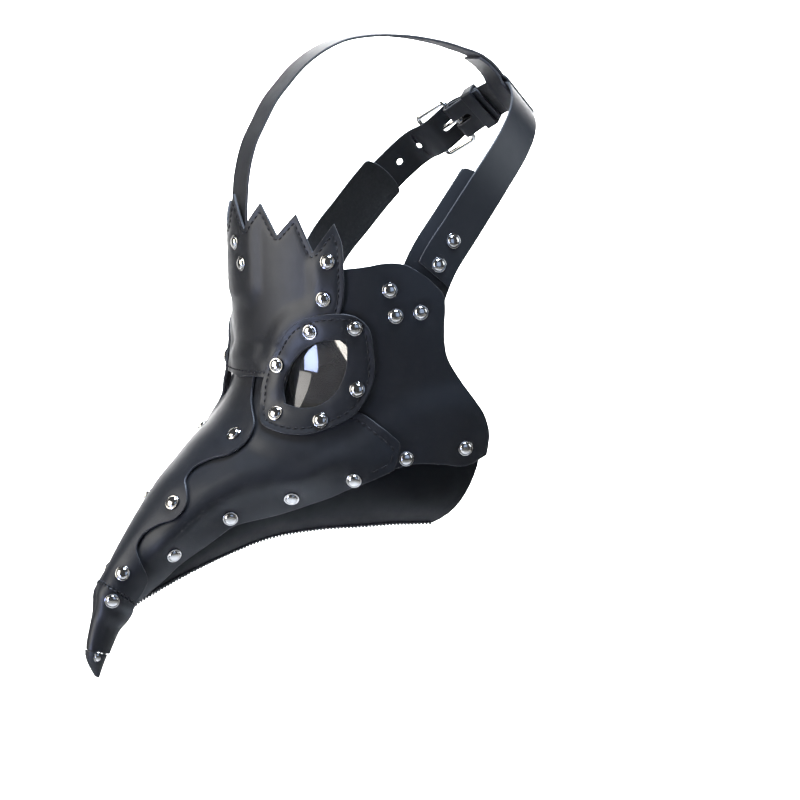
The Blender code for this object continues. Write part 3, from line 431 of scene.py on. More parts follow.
def outline_of(points, spacing):
    """A closed outline: smooth through its points, and sharp where they are corners."""
    rows = np.array([p[:2] for p in points], float)
    corners = [i for i, p in enumerate(points) if p[2]]
    if not corners:
        rows = np.vstack([rows[-2:], rows, rows[:3]])
        stops = lengths_along(rows)
        count = max(6, round((stops[-3] - stops[2]) / spacing))
        return through(stops, rows, np.linspace(stops[2], stops[-3], count + 1)[:-1] + 1e-9)
    made = []
    for here, there in zip(corners, corners[1:] + [corners[0] + len(points)]):
        run = rows[[i % len(points) for i in range(here, there + 1)]]
        stops = lengths_along(run)
        count = max(1, math.ceil(stops[-1] / spacing))
        made.append(through(stops, run, np.linspace(0, stops[-1], count + 1)[:-1]))
    return np.vstack(made)


def mirrored(points):
    """A half outline from the top of the middle line to its foot, closed with its mirror image."""
    rest = [(-g, v, c) for g, v, c in points[1:-1]]
    return points + rest[::-1]


def ellipse(centre, radii, spacing):
    """An ellipse as a closed outline."""
    count = max(16, round(math.pi * sum(radii) / spacing))
    turn = np.linspace(0, 2 * math.pi, count, endpoint=False)
    return np.column_stack([centre[0] + radii[0] * np.cos(turn), centre[1] + radii[1] * np.sin(turn)])


def head_normal(points):
    """The outward direction of the head at these points."""
    normal = (points - HEAD_CENTRE) / HEAD_RADII**2
    return normal / np.linalg.norm(normal, axis=1, keepdims=True)


def strap_line(*runs):
    """A strap's line as rows of point and normal. A run of two points is straight, with one normal."""
    rows = []
    for run in runs:
        points = np.array(run, float)
        if len(run) == 2:
            points = np.array([points[0] + share * (points[1] - points[0]) for share in STRAIGHT_SHARES])
        normals = head_normal(points)
        if len(run) == 2:
            normals[:] = normals[2]
        rows.append(np.hstack([points, normals]))
    return np.vstack(rows)


def distance_to(line, point):
    """The distance along a strap's line to one of its own points."""
    return lengths_along(line[:, :3])[np.abs(line[:, :3] - point).sum(1).argmin()]


def line_frame(line, at):
    """Point, direction, outward normal and side of a strap's line at distances along it."""
    stops = lengths_along(line[:, :3])
    at = np.asarray(at, float)
    here = through(stops, line, at)
    ahead = through(stops, line, at + 0.5)[:, :3] - through(stops, line, at - 0.5)[:, :3]
    ahead /= np.linalg.norm(ahead, axis=1, keepdims=True)
    normal = here[:, 3:] - (here[:, 3:] * ahead).sum(1, keepdims=True) * ahead
    normal /= np.linalg.norm(normal, axis=1, keepdims=True)
    return here[:, :3], ahead, normal, np.cross(ahead, normal)


def line_length(line):
    """The length of a strap's line."""
    return lengths_along(line[:, :3])[-1]


def strap_mapper(line, profile):
    """Maps (distance along the strap, distance across) to space, along a profile of a strap's line."""
    profile = np.array(profile, float)
    stops = lengths_along(profile)

    def place(flat, height):
        along = np.clip(flat[:, 0], 0, stops[-1])
        at = read_at(profile, stops, along)
        run = read_at(profile, stops, along + 0.4) - read_at(profile, stops, along - 0.4)
        run /= np.linalg.norm(run, axis=1, keepdims=True)
        point, forward, normal, side = line_frame(line, at[:, 0])
        lift = (at[:, 1] + height * run[:, 0])[:, None] * normal
        return point + lift - (height * run[:, 1])[:, None] * forward + side * flat[:, 1:2]

    return place, stops[-1]


def fold_profile(start, bar):
    """The held strap's profile: along its line, round the buckle's bar and back beneath itself."""
    run = [(s, 0.0) for s in np.arange(start, bar - FOLD_LENGTH - 6, 6.0)]
    run += [(bar - FOLD_LENGTH, FOLD_FLAT), (bar - 10, FOLD_FLAT), (bar - 6, 1.5), (bar - 3, 2.1)]
    turn = np.linspace(90, -90, 9)
    run += [(bar + FOLD_RADIUS * math.cos(math.radians(t)), FOLD_RADIUS * math.sin(math.radians(t)))
            for t in turn]
    return run + [(bar - 3, -2.1), (bar - 6, -1.5), (bar - 10, -FOLD_FLAT), (bar - FOLD_LENGTH, -FOLD_FLAT)]


def loop_profile(crossing):
    """The top strap's profile: along its line, over and round the side strap, and back beneath itself."""
    run = [(s, 0.0) for s in np.arange(0, crossing - LOOP_BACK - 6, 6.0)]
    run += [(crossing - LOOP_BACK, LOOP_FLAT), (crossing - 22, LOOP_FLAT), (crossing - 14.5, LOOP_FLAT)]
    run += [(crossing - 11.5, LOOP_OPEN), (crossing, LOOP_OPEN)]
    for turn in np.radians(np.linspace(90, -90, 7)):
        run.append((crossing + LOOP_REACH + LOOP_OPEN * math.cos(turn), LOOP_OPEN * math.sin(turn)))
    run += [(crossing, -LOOP_OPEN), (crossing - 11.5, -LOOP_OPEN), (crossing - 14.5, -LOOP_FLAT)]
    return run + [(crossing - 22, -LOOP_FLAT), (crossing - LOOP_BACK, -LOOP_FLAT)]


def tail_profile(end, bar):
    """The threaded strap's profile, from its far end, under the frame and over the bar to its tip."""
    run = [(s, 0.0) for s in np.arange(end, bar + FRAME_LENGTH + 12, -6.0)]
    run += [(bar + FRAME_LENGTH + 7, -0.8), (bar + FRAME_LENGTH + 2, TAIL_UNDER_FRONT)]
    for t in np.linspace(0, 1, 9):
        height = TAIL_UNDER_FRONT + smooth(t) * (TAIL_OVER_BAR - TAIL_UNDER_FRONT)
        run.append((bar + 16 - 14 * t, height))
    return run + [(bar - 3, TAIL_OVER_BAR), (bar - 9.5, TAIL_OVER_FOLD), (bar - TAIL_LENGTH, TAIL_OVER_FOLD)]


def slot(start, end, half):
    """A long hole with round ends."""
    turn = np.linspace(-90, 90, 5) * math.pi / 180
    right = [(end - half + half * math.cos(t), half * math.sin(t)) for t in turn]
    left = [(start + half - half * math.cos(t), -half * math.sin(t)) for t in turn]
    return np.array(right + left)


def tube(points, radius, sides, closed, normals):
    """Points and faces of a round wire along a path."""
    points = np.asarray(points, float)
    count = len(points)
    if closed:
        ahead = np.roll(points, -1, 0) - np.roll(points, 1, 0)
    else:
        ahead = np.gradient(points, axis=0)
    ahead /= np.linalg.norm(ahead, axis=1, keepdims=True)
    up = np.broadcast_to(normals, points.shape)
    side = np.cross(ahead, up)
    side /= np.linalg.norm(side, axis=1, keepdims=True)
    turn = np.linspace(0, 2 * math.pi, sides, endpoint=False)[None, :, None]
    rings = points[:, None] + radius * (np.cos(turn) * side[:, None] + np.sin(turn) * up[:, None])
    return rings.reshape(-1, 3), loft(count, sides, closed)


def loft(count, sides, closed=False):
    """Faces between rings of points. The two ends are closed too, unless the last ring meets the first."""
    faces = []
    for k in range(count if closed else count - 1):
        for i in range(sides):
            j = (i + 1) % sides
            n = (k + 1) % count
            faces.append((k * sides + i, k * sides + j, n * sides + j, n * sides + i))
    if not closed:
        faces += [tuple(range(sides))[::-1], tuple(range((count - 1) * sides, count * sides))]
    return faces


def fill(outline, holes, spacing, rungs=(), seams=()):
    """Flat points and triangles that fill an outline around its holes.

    Each rung is a line across the outline that no triangle crosses. Each seam is a line of stitching,
    which gets points along it and on both of its sides.
    """
    low, high = outline.min(0), outline.max(0)
    rows = np.arange(low[1] + spacing[1] / 2, high[1], spacing[1])
    lattice = [(x + (k % 2) * spacing[0] / 2, y) for k, y in enumerate(rows)
               for x in np.arange(low[0], high[0], spacing[0])]
    kept = np.array(lattice).reshape(-1, 2)
    clear = 0.5 * min(spacing)
    kept = kept[outside_by(kept, outline) < -clear]
    for hole in holes:
        kept = kept[outside_by(kept, hole) > clear]
    for seam in seams:
        kept = kept[nearest(kept, seam)[0] > GROOVE_WIDTH * 1.7]
        ahead = np.gradient(seam, axis=0)
        across = np.column_stack([-ahead[:, 1], ahead[:, 0]]) / np.linalg.norm(ahead, axis=1, keepdims=True)
        beside = np.vstack([seam + across * k * GROOVE_WIDTH for k in (-1, 1)])
        beside = beside[nearest(beside, seam)[0] > GROOVE_WIDTH * 0.9]
        kept = np.vstack([kept, seam, beside])
    kept = kept[outside_by(kept, outline) < -0.4]
    points, edges = [], []
    for ring in [outline, *holes]:
        first = len(points)
        points += [Vector(p) for p in ring]
        edges += [(first + i, first + (i + 1) % len(ring)) for i in range(len(ring))]
    for rung in rungs:
        edges.append((len(points), len(points) + 1))
        points += [Vector(p) for p in rung]
    points += [Vector(p) for p in kept]
    made = delaunay_2d_cdt(points, edges, [], 0, 1e-6)
    flat = np.array([tuple(p) for p in made[0]])
    triangles = np.array([tuple(f) for f in made[2]])
    middle = flat[triangles].mean(1)
    keep = inside(middle, outline)
    for hole in holes:
        keep &= ~inside(middle, hole)
    return flat, triangles[keep]


def add_object(name, points, faces, materials, slots=None, sharp=40):
    """A mesh object from points in millimetres, its faces turned outwards."""
    mesh = bpy.data.meshes.new(name)
    mesh.from_pydata([tuple(p) for p in np.asarray(points) * MM], [], [tuple(map(int, f)) for f in faces])
    for material in materials:
        mesh.materials.append(material)
    if slots is not None:
        mesh.polygons.foreach_set("material_index", slots)
    work = bmesh.new()
    work.from_mesh(mesh)
    loose = [v for v in work.verts if not v.link_faces]
    bmesh.ops.delete(work, geom=loose, context="VERTS")
    if work.calc_volume(signed=True) < 0:
        bmesh.ops.reverse_faces(work, faces=work.faces)
    work.to_mesh(mesh)
    work.free()
    mesh.shade_smooth()
    if sharp:
        mesh.set_sharp_from_angle(angle=math.radians(sharp))
    made = bpy.data.objects.new(name, mesh)
    bpy.context.scene.collection.objects.link(made)
    return made


def round_edges(piece, width):
    """Rounds a piece's cut edges."""
    bevel = piece.modifiers.new("round", "BEVEL")
    bevel.width = width * MM
    bevel.segments = 2
    bevel.limit_method = "ANGLE"
    bevel.angle_limit = math.radians(50)
    bevel.use_clamp_overlap = True
    bevel.harden_normals = False


def sheet(outline, place, low, thick, spacing, holes=(), rungs=(), seams=()):
    """Points, faces and material slots (0 front, 1 cut edge, 2 back) of a closed sheet."""
    flat, triangles = fill(outline, holes, spacing, rungs, seams)
    count = len(flat)
    bottom = low(flat) if callable(low) else np.full(count, float(low))
    points = np.vstack([place(flat, bottom), place(flat, bottom + thick)])
    sides = {}
    for a, b, c in triangles:
        for pair in ((a, b), (b, c), (c, a)):
            if pair[::-1] in sides:
                del sides[pair[::-1]]
            else:
                sides[pair] = True
    faces = [(a, b, c) for a, b, c in triangles + count]
    faces += [(c, b, a) for a, b, c in triangles]
    faces += [(a, b, b + count, a + count) for a, b in sides]
    slots = [0] * len(triangles) + [2] * len(triangles) + [1] * len(sides)
    return points, faces, slots


def on_form(flat, height):
    """Places flat points on the moulded form, at a height above it."""
    return form_point(flat) + form_normal(flat) * (height + mould(flat))[:, None]


def both(name, points, faces, materials, slots=None, sharp=40):
    """A piece for the wearer's left and its mirror image for the right."""
    left = add_object(name + "_left", points, faces, materials, slots, sharp)
    turned = [f[::-1] for f in faces]
    right = add_object(name + "_right", points * [-1, 1, 1], turned, materials, slots, sharp)
    return [left, right]


def worn(piece, slot, *nodes, body="mask"):
    """Rides a piece on a body and hides the nodes that it stands for. The slot, the name of its finish, is
    not used.
    """
    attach(piece, body)
    if nodes:
        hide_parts(*nodes)
    return piece


def worn_pair(name, made, materials, slot_name, node=None, sharp=50, rounded=True):
    """A worn piece on the wearer's left, and its mirror image on the right."""
    slots = made[2] if len(materials) > 1 else None
    for piece, side in zip(both(name, *made[:2], materials, slots, sharp), ("left", "right")):
        if rounded:
            round_edges(piece, EDGE_ROUND)
        worn(piece, slot_name, *([f"{node}_{side}"] if node else []))


class Look:
    """A node material under construction: each method adds a node and returns its output."""

    def __init__(self, name):
        self.material = bpy.data.materials.new(name)
        self.material.use_nodes = True
        self.tree = self.material.node_tree
        self.shader = self.tree.nodes["Principled BSDF"]
        self.place = self.tree.nodes.new("ShaderNodeTexCoord").outputs["Object"]

    def add(self, kind, source, sink, output, **inputs):
        """A node fed by a source at its sink, with other inputs set by name."""
        node = self.tree.nodes.new(kind)
        for key, value in inputs.items():
            node.inputs[key.replace("_", " ")].default_value = value
        self.tree.links.new(source, node.inputs[sink])
        return node.outputs[output]

    def set(self, **values):
        for key, value in values.items():
            self.shader.inputs[key.replace("_", " ").title().replace("Ior", "IOR")].default_value = value

    def noise(self, scale, detail=3, roughness=0.5, stretch=None):
        place = self.place
        if stretch:
            place = self.add("ShaderNodeMapping", place, "Vector", "Vector", Scale=stretch)
        return self.add("ShaderNodeTexNoise", place, "Vector", "Fac", Scale=scale, Detail=detail,
                        Roughness=roughness)

    def cells(self, scale, feature="F1"):
        made = self.add("ShaderNodeTexVoronoi", self.place, "Vector", "Distance", Scale=scale)
        node = made.node
        node.feature = feature
        return node.outputs["Distance"]

    def ramp(self, value, *stops):
        made = self.add("ShaderNodeValToRGB", value, "Fac", "Color")
        marks = made.node.color_ramp.elements
        while len(marks) < len(stops):
            marks.new(0.5)
        for mark, (at, colour) in zip(marks, stops):
            mark.position = at
            mark.color = (*colour, 1)
        return made

    def spread(self, value, low, high):
        return self.add("ShaderNodeMapRange", value, "Value", "Result", To_Min=low, To_Max=high)

    def colour(self, source):
        self.tree.links.new(source, self.shader.inputs["Base Color"])

    def rough(self, source):
        self.tree.links.new(source, self.shader.inputs["Roughness"])

    def bumps(self, *rows):
        """Stacks bumps, each given as (height, strength, distance in millimetres)."""
        normal = None
        for height, strength, far in rows:
            made = self.add("ShaderNodeBump", height, "Height", "Normal", Strength=strength,
                            Distance=far * MM)
            if normal:
                self.tree.links.new(normal, made.node.inputs["Normal"])
            normal = made
        self.tree.links.new(normal, self.shader.inputs["Normal"])


def grey(level, blue=0.0):
    """A grey, with a little blue."""
    return (level, level * (1 + blue * 0.3), level * (1 + blue))


def leather_look(name, level, rough, scuff, gloss=0.5, coat=0.12):
    """Coated leather: fine pores and creases, cloudy sheen, and paler scuffs where it was handled."""
    look = Look(name)
    clouds = look.noise(26, 4, 0.6)
    scuffs = look.noise(140, 6, 0.7, (1, 1.6, 0.7))
    look.colour(look.ramp(clouds, (0.3, grey(level * 0.8, 0.35)), (0.62, grey(level, 0.15)),
                          (0.8, grey(level * scuff, 0.0))))
    look.rough(look.spread(scuffs, rough - 0.07, rough + 0.12))
    pores = look.cells(1500)
    creases = look.cells(520, "DISTANCE_TO_EDGE")
    look.bumps((clouds, 0.12, 0.8), (creases, 0.10, 0.12), (pores, 0.16, 0.08), (scuffs, 0.1, 0.1))
    look.set(specular_ior_level=gloss, coat_weight=coat, coat_roughness=0.3)
    return look.material


def grained_look(name, grain, stops, rough=None, bump=None, **settings):
    """A look whose colour, roughness and bumps all follow one grain of noise."""
    look = Look(name)
    grain = look.noise(*grain)
    look.colour(look.ramp(grain, *stops))
    if rough:
        look.rough(look.spread(grain, *rough))
    if bump:
        look.bumps((grain, *bump))
    look.set(**settings)
    return look.material


def backing_look():
    """The back of the leather: napped dark cloth."""
    look = Look("backing")
    nap = look.noise(700, 5, 0.7)
    weave = look.cells(900)
    look.colour(look.ramp(nap, (0.25, grey(0.014)), (0.6, grey(0.026)), (0.85, grey(0.045))))
    look.rough(look.spread(nap, 0.8, 0.95))
    look.bumps((weave, 0.3, 0.2), (nap, 0.25, 0.2))
    look.set(sheen_weight=0.15, sheen_roughness=0.5)
    return look.material


def thread_looks():
    """Waxed black thread with its twist, and the duller soft thread of the overlock."""
    twist = (1400, 2, 0.5, (1, 0.35, 1))
    waxed = [(0.35, grey(0.003)), (0.7, grey(0.01))]
    strands = (1300, 4, 0.65, (1.8, 0.6, 0.6))
    soft = [(0.3, grey(0.008)), (0.6, grey(0.02)), (0.85, grey(0.045))]
    return {
        "thread": grained_look("thread", twist, waxed, (0.45, 0.7), (0.5, 0.15)),
        "hem": grained_look("hem_thread", strands, soft, (0.6, 0.85), (0.5, 0.2), sheen_weight=0.1,
                            sheen_roughness=0.5),
    }


def hard_looks():
    """Polished nickel with faint wear, clear smoked sheet, and the pale seamless backdrop."""
    worn_metal = [(0.3, (0.66, 0.64, 0.60)), (0.7, (0.84, 0.82, 0.78))]
    smoke = [(0.3, (0.24, 0.225, 0.205)), (0.7, (0.30, 0.285, 0.26))]
    paper = [(0.3, grey(0.86)), (0.7, grey(0.88))]
    return {
        "nickel": grained_look("nickel", (420, 5, 0.6), worn_metal, (0.06, 0.2), (0.04, 0.05), metallic=1.0),
        "lens": grained_look("smoked_lens", (60, 3, 0.5), smoke, (0.02, 0.06), ior=1.49,
                             transmission_weight=0.75, specular_ior_level=0.8, coat_weight=0.5,
                             coat_roughness=0.03),
        "backdrop": grained_look("backdrop", (3, 2, 0.5), paper, roughness=0.9),
    }


def leather_looks():
    """The panels' leather, the plainer underside with its colour painted darker as shade, the hard end piece,
    cut edges whose pale colour is partly a painted highlight, and the leather's back.
    """
    # Cut edges: pale leather fibres, made paler still as a painted highlight where the edges catch the light
    fibres_and_highlight = [(0.3, grey(0.05)), (0.6, grey(0.1, 0.05)), (0.85, grey(0.17, 0.05))]
    return {
        "leather": leather_look("leather_look", 0.015, 0.43, 1.5),
        # The underside wears the panels' leather, duller, with its colour painted darker as shade
        "under": leather_look("under_leather_painted_shade", 0.007, 0.6, 1.4, 0.15, 0.0),
        "horn": leather_look("horn_look", 0.010, 0.5, 1.6),
        "edge": grained_look("cut_edge_painted_highlight", (900, 4, 0.7, (1, 1, 2.5)), fibres_and_highlight, (0.5, 0.72), (0.3, 0.15)),
        "backing": backing_look(),
    }


def cover(flat, outline):
    """1 over a lower piece and just past its edge, fading to 0 where the leather comes down again."""
    folded = np.column_stack([np.abs(flat[:, 0]), flat[:, 1]])
    return 1 - smooth((outside_by(folded, outline) - DRAPE_FROM) / (DRAPE_TO - DRAPE_FROM))


def over(*outlines):
    """The height of a panel that lies over these pieces."""
    return lambda flat: LAYER * sum((cover(flat, outline) for outline in outlines), np.zeros(len(flat)))


def jaw_outline():
    """The jaw panel runs from under the beak side down to the form's rear edge."""
    hem = [(girth_end(v) - 0.5, v, int(v in JAW_HEM_HEIGHTS[::10])) for v in JAW_HEM_HEIGHTS]
    return JAW_TOP + hem


def tip_outline():
    """The tip cap wraps the point edge to edge, and leaves the hem free at its top."""
    heights = np.linspace(TIP_CAP_TOP, TIP_CAP_END, 18)
    clear = TIP_CAP_CLEAR * (1 - smooth((TIP_CAP_TOP - heights) / TIP_CLEAR_LENGTH))
    edge = [(girth_end(v) - SEAM_GAP - back, v) for v, back in zip(heights, clear)]
    foot = [(edge[-1][0] * share, TIP_CAP_END) for share in np.linspace(1, -1, 11)[1:-1]]
    top = [(edge[0][0] * share, TIP_CAP_TOP) for share in np.linspace(-1, 1, 41)[1:-1]]
    return np.array(edge + foot + [(-g, v) for g, v in edge[::-1]] + top)


JAW = outline_of(jaw_outline(), 2)
CHEEK_EDGE = outline_of(CHEEK, 2)
BEAK_EDGE = outline_of(BEAK_SIDE, 2)
CROWN_HALF = outline_of(CROWN, 3)
NOSE_HALF = outline_of(NOSE_STRIP, 3)
STRAP_UNDER = np.array([(0.0, 48), (10, 48), (10, 104), (0, 104)])
COVERS = {
    "cheek": over(JAW),
    "beak": over(JAW, CHEEK_EDGE),
    "nose": over(JAW, CHEEK_EDGE, BEAK_EDGE),
    "crown": over(CHEEK_EDGE, BEAK_EDGE, NOSE_HALF, STRAP_UNDER),
    "eye": over(CHEEK_EDGE, BEAK_EDGE, CROWN_HALF),
    "tip": over(JAW, BEAK_EDGE),
}


def inset_line(outline, inset, spacing=1.2):
    """The lines that run inside an outline at one distance from it, broken where it is too narrow."""
    ring = np.vstack([outline, outline[:1]])
    stops = lengths_along(ring)
    at = np.arange(0, stops[-1], spacing / 2)
    ring = read_at(ring, stops, at)
    ahead = np.roll(ring, -1, 0) - np.roll(ring, 1, 0)
    inward = np.column_stack([-ahead[:, 1], ahead[:, 0]]) / np.linalg.norm(ahead, axis=1, keepdims=True)
    if not inside(ring[:1] + inward[:1] * 0.1, outline)[0]:
        inward = -inward
    moved = ring + inward * inset
    moved = moved[outside_by(moved, outline) < -inset + 0.12]
    first = int(np.linalg.norm(np.roll(moved, 1, 0) - moved, axis=1).argmax())
    return np.roll(moved, -first, 0)


def evenly(line):
    """A line with its points spaced evenly."""
    stops = lengths_along(line)
    return read_at(line, stops, np.linspace(0, stops[-1], max(2, round(stops[-1] / SEAM_STEP))))


def wave(points, seed):
    """Slow swells and dents, in millimetres, at points in millimetres."""
    return WAVE * np.array([noise.noise(Vector(p) / WAVE_SIZE + Vector((seed, 0, 0))) for p in points])


def surface(height_of, seams=(), rivets=(), seed=0.0):
    """The height of a panel's underside: its cover, with swells, rivet dents and stitch grooves."""
    def height(flat):
        low = height_of(flat) + wave(on_form(flat, np.zeros(len(flat))), seed)
        for place in rivets:
            far = np.linalg.norm(flat - place, axis=1) - RIVET_RADIUS * 0.9
            low = low - RIVET_DENT * np.exp(-((np.maximum(far, 0) / RIVET_DENT_REACH) ** 2))
        for seam in seams:
            low = low - STITCH_GROOVE * np.exp(-((nearest(flat, seam)[0] / GROOVE_WIDTH) ** 2))
        return low
    return height


def stitch_mesh(line, place):
    """Points and faces of the stitches along a flat line. Place gives points at a height on the leather."""
    stops = lengths_along(line)
    count = max(1, int(stops[-1] / STITCH_PITCH))
    pitch = stops[-1] / count
    points, faces = [], []
    shares = np.linspace(-0.5, 0.5, 5)
    lifts = np.array([-0.30, 0.12, 0.26, 0.12, -0.30])
    middles = (np.arange(count) + 0.5) * pitch
    at = (middles[:, None] + shares * STITCH_LENGTH).ravel()
    flat = read_at(line, stops, at)
    base = place(flat, np.zeros(len(flat)))
    out = place(flat, np.ones(len(flat))) - base
    path = base + out * np.tile(lifts, count)[:, None]
    for k in range(count):
        rows = slice(k * 5, k * 5 + 5)
        ring, sides = tube(path[rows], STITCH_THREAD, 6, False, out[rows])
        first = sum(len(p) for p in points)
        points.append(ring)
        faces += [tuple(i + first for i in f) for f in sides]
    return np.vstack(points), faces


def join(made):
    """Several (points, faces) as one."""
    points, faces, first = [], [], 0
    for rows, sides in made:
        points.append(rows)
        faces += [tuple(i + first for i in f) for f in sides]
        first += len(rows)
    return np.vstack(points), faces


def on_leather(low):
    """Places points above the top of a panel whose underside is at low."""
    return lambda flat, height: on_form(flat, low(flat) + LEATHER + height)


def tops(places):
    """Rivet places on both sides of the middle line."""
    return [np.array([g * s, v]) for s in (1, -1) for g, v in places]


def panel(outline, height_of, seams, rivets, seed, holes=()):
    """A panel draped over the pieces below it, and the stitches along its seams."""
    low = surface(height_of, seams, rivets, seed)
    made = sheet(outline, on_form, low, LEATHER, (FINE, FINE), holes, (), seams)
    threads = [join([stitch_mesh(seam, on_leather(low)) for seam in seams])] if seams else []
    return made, threads


def side_panels(looks):
    """Jaw panels, cheeks, beak sides and eye patches, with their stitching."""
    opening = outline_of(EYE_OPENING, 1.2)
    under = EYE_CENTRE + (outline_of(EYE_OPENING, 2) - EYE_CENTRE) * UNDER_OPENING_SCALE
    patch = outline_of(EYE_PATCH, 1.6)
    eye_seam = evenly(inset_line(patch, STITCH_INSET))
    eye_seam = np.vstack([eye_seam, eye_seam[:1]])
    rear = inset_line(BEAK_EDGE, STITCH_INSET)
    cheek_seam = evenly(rear[(rear > CHEEK_SEAM_FROM).all(1)])
    table = [
        # The jaw panel wears the underside's leather, its colour painted darker as shade
        ("jaw_panel", JAW, over(), [], [], [], "under"),
        ("cheek_panel", CHEEK_EDGE, COVERS["cheek"], [], TEMPLE_RIVETS + ROW_RIVETS[4:], [under], "leather"),
        ("beak_side", BEAK_EDGE, COVERS["beak"], [cheek_seam], ROW_RIVETS[:4], [], "leather"),
        ("eye_patch", patch, COVERS["eye"], [eye_seam], EYE_RIVETS, [opening], "leather"),
    ]
    for k, (name, outline, height_of, seams, rivets, holes, look) in enumerate(table):
        made, threads = panel(outline, height_of, seams, rivets, 3.0 * k, holes)
        slot_name = "under_leather" if look == "under" else look
        worn_pair(name + "_leather", made, [looks[look], looks["edge"], looks["backing"]], slot_name, name)
        for thread in threads:
            worn_pair(name + "_stitches", thread, [looks["thread"]], "leather", None, 0, False)


def middle_panels(looks):
    """The crown, the nose strip and the tip cap, which cross the middle line."""
    crown = outline_of(mirrored(CROWN), 2)
    seam = inset_line(crown, STITCH_INSET)
    seam = evenly(seam[(np.abs(seam[:, 0]) > CROWN_SEAM_GAP[0]) | (seam[:, 1] > CROWN_SEAM_GAP[1])])
    seam = np.vstack([seam, seam[:1]])
    strip = outline_of(mirrored(NOSE_STRIP), 1.8)
    table = [
        ("forehead_crown", crown, COVERS["crown"], [seam], CROWN_RIVETS),
        ("nose_ridge_strip", strip, COVERS["nose"], [], tops(RIDGE_RIVETS)),
        ("beak_tip_cap", tip_outline(), COVERS["tip"], [], tops(TIP_RIVETS)),
    ]
    for k, (name, outline, height_of, seams, rivets) in enumerate(table):
        made, threads = panel(outline, height_of, seams, rivets, 40 + 3.0 * k)
        worn_leather(name + "_leather", name, made, looks)
        for thread in threads:
            worn(add_object(name + "_stitches", *thread, [looks["thread"]], None, 0), "leather")


def worn_leather(name, node, made, looks):
    """One piece of leather with a front, cut edges and a back."""
    points, faces, slots = made
    piece = add_object(name, points, faces, [looks["leather"], looks["edge"], looks["backing"]], slots, 50)
    round_edges(piece, EDGE_ROUND)
    return worn(piece, "leather", node)


def tip_seam(looks):
    """The stitches that cross the butt joint of the nose strip and the tip cap."""
    made = []
    low = on_leather(COVERS["nose"])
    along = np.linspace(-1, 1, 5)
    lifts = np.array([-0.4, 0.0, 0.12, 0.0, -0.4])
    for g in np.arange(-TIP_SEAM_HALF, TIP_SEAM_HALF + 0.1, TIP_SEAM_PITCH):
        path = np.column_stack([g + 0.5 * along, TIP_SEAM_HEIGHT - 1.4 * along])
        base = low(path, np.zeros(5))
        out = low(path, np.ones(5)) - base
        made.append(tube(base + out * lifts[:, None], STITCH_THREAD, 6, False, out))
    worn(add_object("tip_seam_stitches", *join(made), [looks["thread"]], None, 0), "leather")


def hem(looks):
    """The overlocked hem: a thread loop over the jaw panel's lower edge at each step."""
    table = np.linspace(JAW_HEM_HEIGHTS[0], JAW_HEM_HEIGHTS[-1], 400)
    edge = np.array([(girth_end(v) - 0.5, v) for v in table])
    line = form_point(edge)
    stops = lengths_along(line)
    at = np.arange(0.6, stops[-1] - 0.3, HEM_PITCH)
    heights = np.interp(at, stops, table)
    flat = np.array([(girth_end(v) - 0.5, v) for v in heights])
    rim = form_point(flat)
    back = form_point(flat - [3.0, 0])
    outward = (rim - back) / np.linalg.norm(rim - back, axis=1, keepdims=True)
    normal = form_normal(flat)
    along = np.gradient(rim, axis=0)
    along /= np.linalg.norm(along, axis=1, keepdims=True)
    loops, chain = [], []
    for k in range(len(at)):
        axes = np.array([outward[k], normal[k], along[k] * HEM_PITCH])
        loops.append(tube(rim[k] + HEM_LOOP @ axes, HEM_THREAD, 6, False, along[k]))
        chain.append(tube(rim[k] + HEM_KNOT @ axes, HEM_THREAD * 0.7, 6, False, normal[k]))
    worn_pair("hem_overlock", join(loops + chain), [looks["hem"]], "under_leather", None, 0, False)


def tip_end(looks):
    """The hard end piece of the point, ribbed round its front, with a small bright pin at its end."""
    heights = np.linspace(TIP_END_TOP, RIDGE_HEIGHTS[-1], 26)
    shares = np.linspace(0, 1, 15)
    rings = []
    for k, height in enumerate(heights):
        near = section_point(np.full(len(shares), height), shares, inner=False)
        turn = np.clip(shares * 2, 0, 1) * math.pi / 2
        wide = LEATHER * np.sin(turn) * (1 - 0.35 * smooth(k / 25))
        near[:, 0] += np.where(shares < 1, wide, 0)
        near[:, 1] -= RIB_DEPTH * (k % 3 == 1) * np.cos(turn)
        rings.append(np.vstack([near, near[::-1][1:-1] * [-1, 1, 1]]))
    core = rings[0].mean(0)
    stem = core + (rings[0] - core) * STEM_SCALE
    up = section_point(TIP_END_TOP + STEM_LENGTH, 0.5)[1:] - section_point(TIP_END_TOP, 0.5)[1:]
    rings = [stem + [0, *up], stem, *rings]
    faces = loft(len(rings), len(rings[0]))
    piece = add_object("beak_tip_end_horn", np.vstack(rings), faces, [looks["horn"]], None, 40)
    worn(piece, "under_leather", "beak_tip_end")
    foot = section_point(np.full(2, RIDGE_HEIGHTS[-1]), np.array([0.3, 0.6]), inner=False).mean(0)
    foot[0] = 0
    pin = rivet("beak_tip_end_pin", foot, np.array([0.0, -0.25, -1.0]), looks["nickel"], END_PIN_SCALE)
    worn(pin, "nickel")


def lenses(looks):
    """The lens in each eye, and the ring that holds it from behind."""
    def domed(flat):
        far = np.linalg.norm((flat - EYE_CENTRE) / LENS_RADII, axis=1)
        return LENS_LOW + 0.5 * (1 - far**2)

    made = sheet(ellipse(EYE_CENTRE, LENS_RADII, 3), on_form, domed, LENS_THICK, (2.5, 2.5))
    worn_pair("eye_lens_sheet", made, [looks["lens"]], "lens", "eye_lens", 60, False)
    hole = ellipse(EYE_CENTRE, RETAINER_OPENING, 3)
    ring = sheet(ellipse(EYE_CENTRE, RETAINER_RADII, 3), on_form, RETAINER_LOW, LEATHER, (3, 3), [hole])
    materials = [looks["backing"], looks["edge"], looks["backing"]]
    worn_pair("lens_ring", ring, materials, "leather", "lens_retainer")


